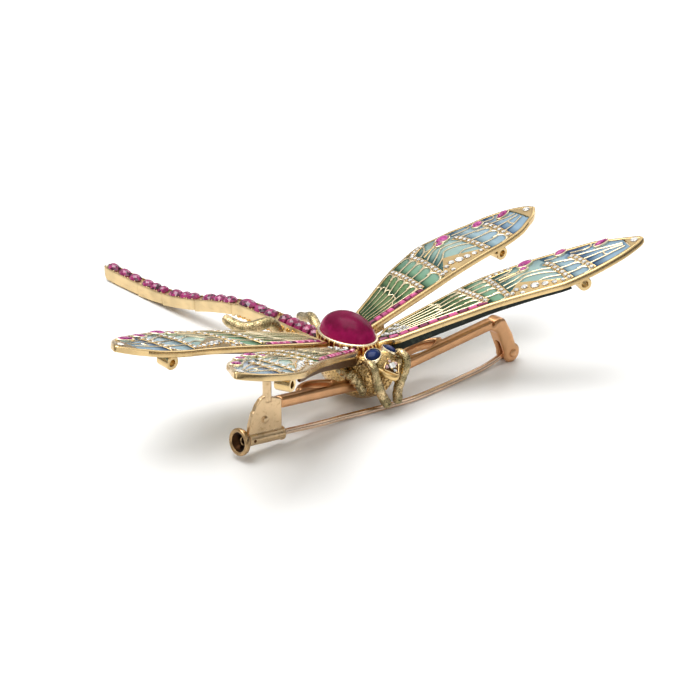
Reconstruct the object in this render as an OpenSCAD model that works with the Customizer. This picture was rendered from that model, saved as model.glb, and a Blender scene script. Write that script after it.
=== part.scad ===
// Dragonfly brooch, resting on its catch, its hinge and its tail.
// X runs across the wings, Y towards the tail, Z up from the surface it lies on.

/* [Body] */
// Height of the body's middle line above the surface
body_z = 6.5; // [6.2:0.1:7.5]
// Radius of the thorax
thorax_r = 5.9; // [5.4:0.1:6.2]
// Length of the thorax
thorax_len = 15; // [14:0.5:16]
// Length of the ruby
ruby_len = 13; // [11:0.5:14]
// Width of the ruby
ruby_w = 8.2; // [7:0.2:9]
// Height of the ruby's dome
ruby_h = 4.3; // [3:0.1:5]
// Thickness of the ruby's bezel wall
bezel_wall = 0.45; // [0.35:0.05:0.6]
// Height of the bezel
bezel_h = 1.5; // [1.2:0.1:1.8]
// Width of the head across its cheeks
head_w = 6.4; // [6:0.2:7.2]
// Height of the head
head_h = 4.6; // [4.2:0.1:5]
// Length of each eye stone
eye_len = 3.4; // [2.8:0.1:3.6]
// Width of each eye stone
eye_w = 2.6; // [2.2:0.1:2.8]
// Side of the square diamond on the face
face_stone = 1.7; // [1.3:0.1:1.9]

/* [Abdomen] */
// Length of the abdomen from the thorax to the tail
abdomen_len = 71; // [64:0.5:74]
// Height of the abdomen's back at the thorax, above the surface
back_z = 8.8; // [8.4:0.1:9.4]
// Width of the abdomen at its broadest
abdomen_w = 3.4; // [3:0.1:4]
// Height of the abdomen's side wall
abdomen_h = 2.5; // [2.2:0.1:2.5]
// Thickness of the abdomen's wall
abdomen_wall = 0.7; // [0.5:0.1:0.8]
// Number of scallops along the abdomen's lower edge
scallops = 18; // [12:1:20]
// Radius of the scallops
scallop_r = 0.5; // [0.3:0.05:0.55]

/* [Wings] */
// Length of a forewing
fore_len = 54.8; // [50:0.5:60]
// Broadest chord of a forewing
fore_chord = 13.8; // [12:0.2:15]
// Length of a hindwing
hind_len = 49.7; // [45:0.5:54]
// Broadest chord of a hindwing
hind_chord = 17.4; // [15:0.2:19]
// Thickness of the wing plates
wing_t = 1.15; // [1:0.05:1.4]
// Radius of the wings' camber
camber_r = 45; // [40:1:60]
// Width of the gold rim round a wing
rim_w = 0.75; // [0.6:0.05:0.9]
// Width of the gold wire between two panes
wire_w = 0.4; // [0.3:0.02:0.5]
// Width of the bands that carry the diamonds
band_w = 1.4; // [1.25:0.05:1.6]
// Thickness of the enamel
enamel_t = 0.6; // [0.4:0.05:0.7]
// How far the enamel lies below the gold
enamel_sink = 0.15; // [0.05:0.05:0.25]
// Diameter of the wings' diamonds
diamond_d = 1.1; // [0.8:0.05:1.15]
// Number of calibre stones along a wing
calibre_n = 8; // [6:1:9]
// Width of the calibre stones
calibre_w = 1; // [0.8:0.05:1.1]
// Diameter of the largest pink stone of a wing
pink_d = 3; // [2.4:0.1:3.2]
// Height of the rib under a wing's leading edge
rib_h = 1.2; // [0.6:0.1:1.4]
// Bore of the tube loops under the wings
loop_bore = 1.3; // [1:0.1:1.5]
// Outer diameter of the tube loops
loop_d = 2.7; // [2.3:0.1:3]
// Length of the tube loops
loop_len = 3; // [2.4:0.1:3.6]

/* [Legs] */
// Thickness of the legs
leg_d = 1.5; // [1.2:0.1:1.7]

/* [Brooch fitting] */
// Distance from the middle to the hinge pin's axis
hinge_x = 33.5; // [31:0.5:35]
// Distance from the middle to the inner end of the catch tube
catch_x = 24; // [22:0.5:25]
// How far the pin stem lies in front of the middle of the ruby
pin_out = 9.4; // [9.2:0.1:9.8]
// How far the pin stem bows forward
pin_bow = 3; // [1:0.1:3.4]
// Diameter of the pin stem
pin_d = 1.05; // [0.9:0.05:1.15]
// Height of the bar's ends above the surface
bar_z = 9.1; // [8.8:0.1:9.6]
// Height of the bar under the thorax
bar_mid_z = 4.4; // [4:0.1:4.8]
// Width of the bar
bar_w = 1.8; // [1.6:0.1:2]
// Thickness of the bar
bar_t = 1.9; // [1.7:0.1:2.1]
// Diameter of the hinge rivet
rivet_d = 1; // [0.8:0.05:1.1]
// Thickness of each hinge ear
ear_t = 0.8; // [0.6:0.05:0.9]
// Outer diameter of the catch tube
tube_d = 2.4; // [2.3:0.05:2.6]
// Bore of the catch tube
tube_bore = 1.7; // [1.6:0.05:1.75]
// Length of the catch tube
tube_len = 8.2; // [7.4:0.2:8.8]
// Diameter of the catch's flared end
flare_d = 5.1; // [4.8:0.1:5.4]
// Slope of the catch tube in degrees
tube_tilt = 6.7; // [6:0.1:7.5]
// Thickness of the catch bracket
bracket_t = 0.9; // [0.7:0.05:1]

/* [Hidden] */

// Gap left between pieces that are set into or seated on each other
seat = 0.06;
// Running clearance of the hinge and the slide
run = 0.05;
// A length that reaches safely past whatever it cuts
past = 60;
// Sides of the faceted round forms
dome_sides = 32;

// Interpolates column c of a table whose first column rises, with smooth slopes
function row_of(x, T, i = 0) = (i >= len(T) - 2 || x < T[i + 1][0]) ? i : row_of(x, T, i + 1);
function slope_of(T, i, c) =
    let (a = max(i - 1, 0), b = min(i + 1, len(T) - 1)) (T[b][c] - T[a][c]) / (T[b][0] - T[a][0]);
function curve(x, T, c) =
    let (
        i = row_of(x, T), h = T[i + 1][0] - T[i][0], q = (x - T[i][0]) / h,
        m0 = slope_of(T, i, c) * h, m1 = slope_of(T, i + 1, c) * h,
        p0 = T[i][c], p1 = T[i + 1][c]
    )
    (2 * q * q * q - 3 * q * q + 1) * p0 + (q * q * q - 2 * q * q + q) * m0
    + (3 * q * q - 2 * q * q * q) * p1 + (q * q * q - q * q) * m1;
function mix(a, b, q) = a + (b - a) * q;
function unit(v) = v / norm(v);

// Skins a stack of rings with equal numbers of points, closed by flat ends; a twisted one gets triangles
module skin(rings, twisted = false) {
    n = len(rings[0]);
    m = len(rings);
    polyhedron(
        points = [for (r = rings) for (p = r) p],
        faces = concat(
            [[for (i = [0:n - 1]) n - 1 - i]],
            [for (k = [0:m - 2]) for (i = [0:n - 1]) for (h = twisted ? [0, 1] : [0])
                let (a = k * n + i, b = k * n + (i + 1) % n, c = b + n, d = a + n)
                !twisted ? [a, b, c, d] : h == 0 ? [a, b, c] : [a, c, d]],
            [[for (i = [0:n - 1]) (m - 1) * n + i]]
        )
    );
}

// One level ring of an oval, half sizes a and b, at height z
function oval(a, b, z, n, turn = 0) = [for (i = [0:n - 1])
    let (g = -360 * i / n + turn) [a * cos(g), b * sin(g), z]];

// A cut stone that sits on z = 0: sloping back, girdle, crown and table
module cut_stone(a, b, back, girdle, crown, n = 8, table = 0.58) {
    skin([
        oval(a * 0.7, b * 0.7, 0, n, 180 / n),
        oval(a, b, back, n, 180 / n),
        oval(a, b, back + girdle, n, 180 / n),
        oval(a * table, b * table, back + girdle + crown, n, 180 / n),
    ]);
}

// A straight-sided step-cut stone of length l and width w that sits on z = 0
function corners(x, y, z) = [[x, y, z], [x, -y, z], [-x, -y, z], [-x, y, z]];
module step_stone(l, w, side, crown) {
    bevel = 0.22 * min(l, w);
    skin([
        corners(l / 2, w / 2, 0),
        corners(l / 2, w / 2, side),
        corners(l / 2 - bevel, w / 2 - bevel, side + crown),
    ]);
}

// A round-topped stone with an oval plan that sits on z = 0
module cabochon(a, b, side, h, n = dome_sides, steps = 7) {
    skin(concat(
        [oval(a, b, 0, n)],
        [for (k = [0:steps - 1]) let (g = 90 * k / steps) oval(a * cos(g), b * cos(g), side + h * sin(g), n)],
        [oval(a * 0.06, b * 0.06, side + h, n)]
    ));
}

// A rod along a path whose rows hold a point and a radius; aside is a direction it never runs in
module rod(path, n = 8, aside = [0, 0, 1]) {
    m = len(path);
    skin([for (k = [0:m - 1])
        let (
            t = unit(path[min(k + 1, m - 1)][0] - path[max(k - 1, 0)][0]),
            side = unit(cross(t, aside)),
            other = cross(t, side), r = path[k][1]
        )
        [for (i = [0:n - 1]) let (g = -360 * i / n) path[k][0] + r * (cos(g) * side + sin(g) * other)]
    ], true);
}
function both(p, s) = [p[0] * s, p[1], p[2]];

// Thorax, ruby and head

// Sections of the thorax: share of its length, share of its radius
THORAX = [[0, 0.62], [0.1, 0.8], [0.25, 0.95], [0.45, 1], [0.65, 0.95], [0.82, 0.8], [1, 0.55]];
thorax_y = -2;
thorax_front = thorax_y - thorax_len / 2;
thorax_back = thorax_y + thorax_len / 2;
ruby_y = -0.2;
ruby_z = body_z + 5.6;
seat_z = ruby_z - bezel_h;
// The seat block ends just above the abdomen's back
seat_h = seat_z - back_z - seat;
ruby_lift = 0.4;
tongue_w = 3.4;
tongue_out = 5;
tongue_t = 1.2;

module thorax_core() {
    steps = 14;
    translate([0, thorax_front, body_z]) rotate([-90, 0, 0]) rotate_extrude($fn = 48)
        polygon(concat(
            [[0, 0]],
            [for (i = [0:steps]) let (s = i / steps) [thorax_r * curve(s, THORAX, 1), thorax_len * s]],
            [[0, thorax_len]]
        ));
}

module oval_block(a, b, h, n = dome_sides) {
    linear_extrude(h) polygon([for (p = oval(a, b, 0, n)) [p[0], p[1]]]);
}

// The tongue of the thorax that a wing rests on, in the wing's own frame
module wing_tongue(w) {
    low = pow(tongue_w, 2) / 2 / camber_r;
    reach = w[ROOT][0] + 1;
    translate([-reach, 0, -wing_t - seat - low - tongue_t]) cube([reach + tongue_out, tongue_w, tongue_t]);
}

module thorax() {
    placed() color("goldenrod") difference() {
        union() {
            intersection() {
                thorax_core();
                translate([-past / 2, -past / 2, seat_z - past]) cube(past);
            }
            translate([0, ruby_y, seat_z - seat_h])
                oval_block(ruby_w / 2 + bezel_wall, ruby_len / 2 + bezel_wall, seat_h);
            for (s = [1, -1]) {
                at_wing(FORE, s) wing_tongue(FORE);
                at_wing(HIND, s) wing_tongue(HIND);
            }
        }
        bar_channel();
    }
}

module ruby_bezel() {
    placed() color("gold") translate([0, ruby_y, seat_z + seat]) difference() {
        oval_block(ruby_w / 2 + bezel_wall, ruby_len / 2 + bezel_wall, bezel_h);
        translate([0, 0, ruby_lift]) oval_block(ruby_w / 2 + seat, ruby_len / 2 + seat, bezel_h);
    }
}

module ruby() {
    base = seat_z + seat + ruby_lift + seat;
    placed() color("crimson") translate([0, ruby_y, base])
        cabochon(ruby_w / 2, ruby_len / 2, ruby_z - base, ruby_h, dome_sides, 9);
}

// Sections of the head: distance in front of the thorax, half width, half height, height of the middle
head_len = 3.6;
head_z = body_z + 3.2;
HEAD = [
    [0, 0.8, 0.78, 0.04], [0.16, 0.94, 0.92, 0.05], [0.42, 1, 1, 0], [0.7, 0.88, 0.9, -0.08],
    [0.9, 0.6, 0.66, -0.16], [1, 0.34, 0.36, -0.2],
];
head_y = thorax_front - seat;

module head_core() {
    n = 20;
    steps = 9;
    skin([for (k = [0:steps]) let (
            s = k / steps, a = head_w / 2 * curve(s, HEAD, 1), c = head_h / 2 * curve(s, HEAD, 2),
            z = head_z + head_h * curve(s, HEAD, 3)
        )
        [for (i = [0:n - 1]) let (g = -360 * i / n) [a * cos(g), head_y - head_len * s, z + c * sin(g)]]
    ], true);
}

eye_x = 1.65;
module at_eye(s) {
    translate([s * eye_x, head_y + 0.25, head_z + 0.33 * head_h]) rotate([24, 27 * s, 0])
        children();
}
module at_face() {
    translate([0, head_y - 0.8 * head_len, head_z]) rotate([64, 0, 0]) children();
}

module head() {
    placed() color("goldenrod") difference() {
        union() {
            head_core();
            for (s = [1, -1]) at_eye(s) oval_block(eye_len / 2 + 0.35, eye_w / 2 + 0.35, 0.7, 24);
            at_face() translate([0, 0, -0.6]) rotate(45)
                cube([face_stone + 0.7, face_stone + 0.7, 1.6], true);
            // Lip below the face
            translate([0, head_y - 0.72 * head_len, head_z - 0.46 * head_h]) rotate([18, 0, 0])
                cube([4.4, 2.2, 1], true);
        }
        for (s = [1, -1]) at_eye(s) translate([0, 0, 0.2])
            oval_block(eye_len / 2 + seat, eye_w / 2 + seat, 4, 24);
        at_face() translate([-face_stone / 2 - seat, -face_stone / 2 - seat, -0.3])
            cube([face_stone + 2 * seat, face_stone + 2 * seat, 4]);
    }
}

module eye(s) {
    placed() color("royalblue") at_eye(s) translate([0, 0, 0.2 + seat])
        cabochon(eye_len / 2, eye_w / 2, 0.6, 0.9, 24, 5);
}
module eye_left() {
    eye(-1);
}
module eye_right() {
    eye(1);
}
module face_diamond() {
    placed() color("white") at_face() translate([0, 0, -0.3 + seat])
        step_stone(face_stone, face_stone, 0.5, 0.4);
}

// Abdomen

// Course of the abdomen: share of its length, back height as a share of back_z,
// wall height as a share of abdomen_h, width as a share of abdomen_w
ABDOMEN = [
    [0, 1, 0.95, 0.9], [0.04, 1, 1, 1], [0.2165, 0.995, 1, 1], [0.34, 0.985, 1, 0.98], [0.4, 0.9, 0.98, 0.97],
    [0.48, 0.755, 0.98, 0.95], [0.554, 0.59, 0.96, 0.94], [0.62, 0.465, 0.92, 0.92], [0.7076, 0.355, 0.94, 0.9],
    [0.79, 0.32, 1, 0.87], [0.88, 0.312, 1.02, 0.82], [1, 0.33, 1, 0.76],
];
// Ends of the segments as shares of the abdomen's length
NOTCHES = [0, 0.2165, 0.3865, 0.554, 0.7076, 0.826, 1];
notch_in = 0.18;
abdomen_y = thorax_back + seat;

function back_at(s) = back_z * curve(s, ABDOMEN, 1);
function foot_at(s) = max(back_at(s) - abdomen_h * curve(s, ABDOMEN, 2), 0.02 * (1 - s));
function half_at(s) = abdomen_w / 2 * curve(s, ABDOMEN, 3);
function ab_y(s) = abdomen_y + abdomen_len * s;

module abdomen_plan(inset) {
    side = [for (k = [0:len(NOTCHES) - 2]) for (q = [0, 0.12, 0.35, 0.65, 0.88, 1])
        let (
            s = mix(NOTCHES[k], NOTCHES[k + 1], q), last = k == len(NOTCHES) - 2 && q > 0.8,
            bulge = (q == 0 || q == 1) ? notch_in : 0,
            tip = last ? (q == 1 ? 0.45 : 0.85) : 1
        )
        [max(half_at(s) - inset, 0.1) * tip - (last ? 0 : bulge),
            ab_y(s) - (s == 1 ? inset : 0) + (s == 0 ? inset : 0) + (q == 0 && k > 0 ? 0.12 : 0)]];
    polygon(concat(side, [for (i = [len(side) - 1:-1:0]) [-side[i][0], side[i][1]]]));
}

module abdomen_side(inset, drop) {
    steps = 36;
    polygon(concat(
        [for (i = [0:steps]) [ab_y(i / steps), back_at(i / steps) - inset]],
        [for (i = [steps:-1:0]) [ab_y(i / steps), foot_at(i / steps) - drop]]
    ));
}

module from_side(w) {
    rotate([90, 0, 90]) translate([0, 0, -w / 2]) linear_extrude(w) children();
}

module abdomen() {
    pitch = 0.377 * abdomen_len / scallops;
    placed() color("goldenrod") difference() {
        intersection() {
            from_side(past) abdomen_side(0, 0);
            translate([0, 0, -past / 2]) linear_extrude(past) abdomen_plan(0);
        }
        intersection() {
            from_side(past) abdomen_side(abdomen_wall, 1);
            translate([0, 0, -past / 2]) linear_extrude(past) abdomen_plan(abdomen_wall);
        }
        for (i = [0:scallops - 1]) let (s = (i + 0.5) / scallops * 0.377)
            translate([0, ab_y(s), foot_at(s)]) rotate([0, 90, 0])
                cylinder(r = min(scallop_r, 0.4 * pitch), h = past, center = true, $fn = 24);
    }
}

// Stones of the abdomen: share along its length, length as a share of it
AB_STONES = [
    [0.24, 0.0366], [0.282, 0.042], [0.3385, 0.06], [0.416, 0.041], [0.461, 0.041], [0.51, 0.05],
    [0.582, 0.034], [0.619, 0.034], [0.665, 0.049], [0.7265, 0.028], [0.761, 0.0324], [0.799, 0.0366],
    [0.861, 0.042], [0.911, 0.045], [0.965, 0.045],
];
ab_calibre_n = 5;

module at_back(s, l) {
    d = l / 2 / abdomen_len;
    a = min(back_at(s - d), back_at(s) + 0.01);
    rise = atan2(back_at(s + d) - back_at(s - d), l);
    top = max(back_at(s), (back_at(s - d) + back_at(s + d)) / 2);
    translate([0, ab_y(s), top + 0.08]) rotate([rise, 0, 0]) children();
}

module abdomen_stones() {
    placed() color("mediumvioletred") for (t = AB_STONES)
        let (l = t[1] * abdomen_len, w = 2 * half_at(t[0]) * 0.84)
            at_back(t[0], l) cut_stone(w / 2, l / 2, 0.15, 0.2, 0.4, 10, 0.6);
}

module abdomen_calibre() {
    placed() color("crimson") for (i = [0:ab_calibre_n - 1])
        let (s = 0.03 + (i + 0.5) * 0.163 / ab_calibre_n, l = 0.163 * abdomen_len / ab_calibre_n - 0.2)
            at_back(s, l) step_stone(abdomen_w * 0.8, l, 0.45, 0.4);
}

// Wings

// Each outline: share of the length, leading edge and trailing edge as shares of the chord
FORE_OUTLINE = [
    [0.022, -0.13, 0.12], [0.05, -0.19, 0.235], [0.12, -0.22, 0.31], [0.22, -0.26, 0.39], [0.32, -0.31, 0.48],
    [0.395, -0.345, 0.54], [0.465, -0.4, 0.55], [0.575, -0.5, 0.47], [0.66, -0.575, 0.385],
    [0.745, -0.575, 0.275], [0.8, -0.555, 0.21], [0.865, -0.515, 0.115], [0.91, -0.475, -0.01],
    [0.96, -0.405, -0.15], [0.985, -0.355, -0.225], [1, -0.3, -0.28],
];
HIND_OUTLINE = [
    [0.026, -0.035, 0.12], [0.06, -0.034, 0.34], [0.1, -0.033, 0.41], [0.16, -0.03, 0.49], [0.27, -0.02, 0.655],
    [0.38, -0.01, 0.815], [0.46, 0, 0.9], [0.574, 0, 1], [0.66, -0.01, 0.92],
    [0.725, -0.025, 0.85], [0.78, -0.025, 0.76], [0.85, 0, 0.68], [0.905, 0.06, 0.585],
    [0.945, 0.11, 0.495], [0.98, 0.19, 0.375], [1, 0.25, 0.27],
];
// Lines across a wing: share of the length at the trailing edge and at the leading edge
FORE_BANDS = [[0.105, 0.075], [0.357, 0.4], [0.461, 0.472], [0.658, 0.69], [0.742, 0.78], [0.94, 0.94]];
HIND_BANDS = [[0.12, 0.08], [0.368, 0.328], [0.498, 0.438], [0.68, 0.674], [0.816, 0.788], [0.93, 0.93]];
// Panes: region between two lines, start and end along it, start and end across it from the leading edge
PANES = [
    [0, 0, 0.5, 0, 0.26], [0, 0, 0.5, 0.26, 0.52], [0, 0, 0.5, 0.52, 0.76], [0, 0, 0.5, 0.76, 1],
    [0, 0.5, 1, 0, 0.24], [0, 0.5, 1, 0.24, 0.5], [0, 0.5, 1, 0.5, 0.75], [0, 0.5, 1, 0.75, 1],
    [1, 0, 1, 0, 0.28], [1, 0, 1, 0.28, 0.52], [1, 0, 1, 0.52, 0.76], [1, 0, 1, 0.76, 1],
    [2, 0, 1, 0.36, 0.56], [2, 0, 1, 0.56, 0.76], [2, 0, 0.5, 0.76, 1],
    [3, 0, 1, 0, 0.34], [3, 0, 1, 0.34, 0.68], [3, 0, 0.5, 0.68, 1],
    [4, 0, 0.95, 0.02, 0.48], [4, 0, 0.5, 0.52, 0.98],
];
// Diamonds in the bands: line, start and end across the wing, number of stones
BAND_STONES = [[1, 0.1, 0.9, 5], [2, 0.12, 0.9, 5], [3, 0.08, 0.66, 4], [4, 0.1, 0.66, 3]];
// Pink stones: region, place along it, place across it, length and width as shares of pink_d
PINKS = [[2, 0.8, 0.8, 1, 0.85], [3, 0.82, 0.8, 0.8, 0.62], [4, 0.7, 0.7, 0.85, 0.4]];

// Columns of a wing
SIZE = 0;
OUTLINE = 1;
BANDS = 2;
ROOT = 3;
TURN = 4;
LOOP = 5;
RIB = 6;
LEFT_TURN = 7;
wing_z = body_z + 5.05;
// Sweep, rise and pitch, the loops' places as shares of the length (right, left) and the rib's place;
// the left pair was bent by hand and sits a little differently
FORE = [
    [fore_len, fore_chord], FORE_OUTLINE, FORE_BANDS, [3, -5, wing_z], [22.2, 16.8, 0.6], [0.73, 0.73], 0.15,
    [22.2, 18, 0.6],
];
HIND = [
    [hind_len, hind_chord], HIND_OUTLINE, HIND_BANDS, [4, 0, wing_z], [2, 14.5, -2.4], [0.725, 0.795], 1.6,
    [2.8, 14.3, -4],
];
function turn_of(w, s) = s < 0 ? w[LEFT_TURN] : w[TURN];

module at_wing(w, s) {
    turn = turn_of(w, s);
    mirror([s < 0 ? 1 : 0, 0, 0]) translate(w[ROOT]) rotate([0, 0, -turn[0]]) rotate([0, -turn[1], 0])
        rotate([-turn[2], 0, 0]) children();
}

function lead(w, s) = w[SIZE][1] * curve(s, w[OUTLINE], 1);
function trail(w, s) = w[SIZE][1] * curve(s, w[OUTLINE], 2);
wing_steps = 34;

// The lengths are measured from a point below the ruby. The model is moved so that its box's middle
// lies over the origin: it reaches from the right forewing's lower leading edge to the tail's end
function front_at(s, turn) =
    let (deep = wing_t + pow(lead(FORE, s), 2) / 2 / camber_r)
    FORE[ROOT][1] - (s * fore_len * cos(turn[1]) + deep * sin(turn[1])) * sin(turn[0])
    + lead(FORE, s) * cos(turn[0]);
front_y = min([for (s = [0.8:0.005:1]) front_at(s, FORE[TURN])]);
middle_y = (front_y + abdomen_y + abdomen_len) / 2;
module placed() {
    translate([0, -middle_y, 0]) children();
}
calibre_cell = calibre_w + 2 * seat + wire_w;

// Point between lines r and r + 1 of a wing, t along and q across from the leading edge
function spot(w, r, t, q, strip = 0) =
    let (
        u0 = mix(w[BANDS][r][1], w[BANDS][r][0], q) * w[SIZE][0] + (r > 0 ? band_w / 2 : 0),
        u1 = mix(w[BANDS][r + 1][1], w[BANDS][r + 1][0], q) * w[SIZE][0] - band_w / 2,
        u = mix(u0, u1, t), s = u / w[SIZE][0]
    )
    [u, mix(lead(w, s) + rim_w + strip, trail(w, s) - rim_w, q)];

// Outline of one pane, its corners rounded at the outer end, drawn in by gap
module pane(w, p, gap) {
    strip = p[0] == 0 ? calibre_cell : 0;
    a = spot(w, p[0], p[1], p[3], strip);
    b = spot(w, p[0], p[2], p[3], strip);
    c = spot(w, p[0], p[2], p[4], strip);
    d = spot(w, p[0], p[1], p[4], strip);
    g = gap + (wire_w / 2);
    lo = unit(b - a);
    hi = unit(c - d);
    end = unit(c - b);
    begin = unit(d - a);
    // Corners drawn in along both of their sides
    a1 = a + g * (lo + begin);
    b1 = b + g * (end - lo);
    c1 = c - g * (end + hi);
    d1 = d + g * (hi - begin);
    cut = 0.3 * norm(c1 - b1);
    polygon([a1, b1 - cut * lo, b1 + cut * end, c1 - cut * end, c1 - cut * hi, d1]);
}

module wing_outline(w) {
    s0 = w[OUTLINE][0][0];
    function along(i) = mix(1, s0, pow(1 - i / wing_steps, 1.35));
    polygon(concat(
        [for (i = [0:wing_steps]) let (s = along(i)) [s * w[SIZE][0], lead(w, s)]],
        [for (i = [wing_steps:-1:0]) let (s = along(i)) [s * w[SIZE][0], trail(w, s)]]
    ));
}

// The curved slab between two depths below a wing's upper face
module camber(w, top, bottom) {
    translate([-2, 0, -camber_r]) rotate([0, 90, 0]) difference() {
        cylinder(r = camber_r - top, h = w[SIZE][0] + 4, $fn = 180);
        translate([0, 0, -1]) cylinder(r = camber_r - bottom, h = w[SIZE][0] + 6, $fn = 180);
    }
}

// Pocket or stone plan of calibre stone i
module calibre_plan(w, i, grow) {
    s0 = w[BANDS][0][1];
    s1 = w[BANDS][1][1] - (band_w / 2 + 0.1) / w[SIZE][0];
    a = mix(s0, s1, i / calibre_n) * w[SIZE][0] + wire_w / 3;
    b = mix(s0, s1, (i + 1) / calibre_n) * w[SIZE][0] - wire_w / 3;
    va = lead(w, a / w[SIZE][0]) + rim_w + seat;
    vb = lead(w, b / w[SIZE][0]) + rim_w + seat;
    polygon([
        [a - grow, va - grow], [b + grow, vb - grow], [b + grow, vb + calibre_w + grow],
        [a - grow, va + calibre_w + grow],
    ]);
}
calibre_depth = 0.6;

rib_t = 0.6;
rib_top = min(enamel_sink + enamel_t + seat, wing_t - 0.12);
module wing_frame(w, side) {
    l = w[SIZE][0];
    at = w[LOOP][side < 0 ? 1 : 0];
    loop_u = at * l;
    loop_v = lead(w, at) + loop_len / 2 + 0.2;
    loop_w = sqrt(camber_r * camber_r - loop_v * loop_v) - camber_r - wing_t - loop_d / 2 + 0.25;
    difference() {
        intersection() {
            translate([0, 0, -past / 2]) linear_extrude(past) difference() {
                wing_outline(w);
                for (p = PANES) pane(w, p, 0);
            }
            camber(w, 0, wing_t);
        }
        // Channel for the calibre stones
        intersection() {
            camber(w, -1, calibre_depth);
            translate([0, 0, -past / 2]) linear_extrude(past) for (i = [0:calibre_n - 1])
                calibre_plan(w, i, seat);
        }
    }
    // Rib under the leading edge
    intersection() {
        camber(w, rib_top, wing_t + rib_h);
        translate([0, 0, -past / 2]) linear_extrude(past) polygon(concat(
            [for (i = [0:8]) let (s = mix(0.14, at - 0.05, i / 8)) [s * l, lead(w, s) + w[RIB]]],
            [for (i = [8:-1:0]) let (s = mix(0.14, at - 0.05, i / 8)) [s * l, lead(w, s) + w[RIB] + rib_t]]
        ));
    }
    // Tube loop
    translate([loop_u, loop_v, loop_w]) rotate([90, 0, 0]) difference() {
        cylinder(d = loop_d, h = loop_len, center = true, $fn = 40);
        cylinder(d = loop_bore, h = loop_len + 1, center = true, $fn = 40);
    }
}

module wing_enamel(w) {
    intersection() {
        translate([0, 0, -past / 2]) linear_extrude(past) for (p = PANES) pane(w, p, seat);
        camber(w, enamel_sink, enamel_sink + enamel_t);
    }
}

module wing_calibre(w) {
    intersection() {
        translate([0, 0, -past / 2]) linear_extrude(past) for (i = [0:calibre_n - 1]) calibre_plan(w, i, 0);
        camber(w, -0.15, calibre_depth - seat);
    }
}

// Sets a stone on the curved upper face at plan point p
module on_wing(p) {
    slope = asin(p[1] / camber_r);
    translate([p[0], p[1], sqrt(camber_r * camber_r - p[1] * p[1]) - camber_r]) rotate([-slope, 0, 0])
        translate([0, 0, seat]) children();
}

function band_spot(w, r, q) =
    let (s = mix(w[BANDS][r][1], w[BANDS][r][0], q))
    [s * w[SIZE][0], mix(lead(w, s) + rim_w, trail(w, s) - rim_w, q)];

module wing_diamonds(w) {
    for (b = BAND_STONES) for (i = [0:b[3] - 1])
        on_wing(band_spot(w, b[0], mix(b[1], b[2], i / (b[3] - 1))))
            cut_stone(diamond_d / 2, diamond_d / 2, 0.06, 0.06, 0.16);
    // The triangle on the leading edge: share along it, distance across, size
    for (t = [[0.08, 0.09, 0.85], [0.29, 0.11, 1.1], [0.5, 0.15, 1.35], [0.71, 0.11, 1.1], [0.92, 0.09, 0.85]])
        on_wing(spot(w, 2, t[0], t[1]))
            cut_stone(diamond_d / 2 * t[2], diamond_d / 2 * t[2], 0.06, 0.08, 0.2);
    tip = 0.955;
    on_wing([tip * w[SIZE][0], mix(lead(w, tip), trail(w, tip), 0.5)])
        cut_stone(diamond_d * 0.6, diamond_d * 0.6, 0.06, 0.08, 0.2);
}

module wing_pinks(w) {
    for (p = PINKS) on_wing(spot(w, p[0], p[1], p[2]))
        cut_stone(pink_d / 2 * p[3], pink_d / 2 * p[4], 0.1, 0.12, 0.35, 10);
}

module wing_fore_left() {
    placed() color("gold") at_wing(FORE, -1) wing_frame(FORE, -1);
}
module wing_fore_right() {
    placed() color("gold") at_wing(FORE, 1) wing_frame(FORE, 1);
}
module wing_hind_left() {
    placed() color("gold") at_wing(HIND, -1) wing_frame(HIND, -1);
}
module wing_hind_right() {
    placed() color("gold") at_wing(HIND, 1) wing_frame(HIND, 1);
}
module enamel_fore_left() {
    placed() color("mediumseagreen") at_wing(FORE, -1) wing_enamel(FORE);
}
module enamel_fore_right() {
    placed() color("mediumseagreen") at_wing(FORE, 1) wing_enamel(FORE);
}
module enamel_hind_left() {
    placed() color("mediumseagreen") at_wing(HIND, -1) wing_enamel(HIND);
}
module enamel_hind_right() {
    placed() color("mediumseagreen") at_wing(HIND, 1) wing_enamel(HIND);
}
module calibre_fore_left() {
    placed() color("crimson") at_wing(FORE, -1) wing_calibre(FORE);
}
module calibre_fore_right() {
    placed() color("crimson") at_wing(FORE, 1) wing_calibre(FORE);
}
module calibre_hind_left() {
    placed() color("crimson") at_wing(HIND, -1) wing_calibre(HIND);
}
module calibre_hind_right() {
    placed() color("crimson") at_wing(HIND, 1) wing_calibre(HIND);
}
module diamonds_fore_left() {
    placed() color("white") at_wing(FORE, -1) wing_diamonds(FORE);
}
module diamonds_fore_right() {
    placed() color("white") at_wing(FORE, 1) wing_diamonds(FORE);
}
module diamonds_hind_left() {
    placed() color("white") at_wing(HIND, -1) wing_diamonds(HIND);
}
module diamonds_hind_right() {
    placed() color("white") at_wing(HIND, 1) wing_diamonds(HIND);
}
module wing_pink_stones() {
    placed() color("hotpink") for (s = [1, -1]) {
        at_wing(FORE, s) wing_pinks(FORE);
        at_wing(HIND, s) wing_pinks(HIND);
    }
}

// Legs

leg_r = leg_d / 2;
module leg_front(s) {
    y = head_y;
    z = body_z + 2.4;
    placed() color("goldenrod") rod([
        [both([4, y + 0.9, z - 0.2], s), leg_r * 0.8], [both([4.35, y - 1.2, z + 0.9], s), leg_r],
        [both([4.2, y - 3.2, z + 0.6], s), leg_r * 1.1], [both([3.6, y - 3.9, z - 0.9], s), leg_r],
        [both([3.2, y - 3.4, z - 3], s), leg_r * 1.15], [both([2.9, y - 2.9, z - 5], s), leg_r],
        [both([2.6, y - 2.9, z - 6.6], s), leg_r * 1.05], [both([2.1, y - 3.3, z - 7.5], s), leg_r * 0.7],
    ], 8, [1, 0, 0]);
}
module leg_front_left() {
    leg_front(-1);
}
module leg_front_right() {
    leg_front(1);
}

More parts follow.
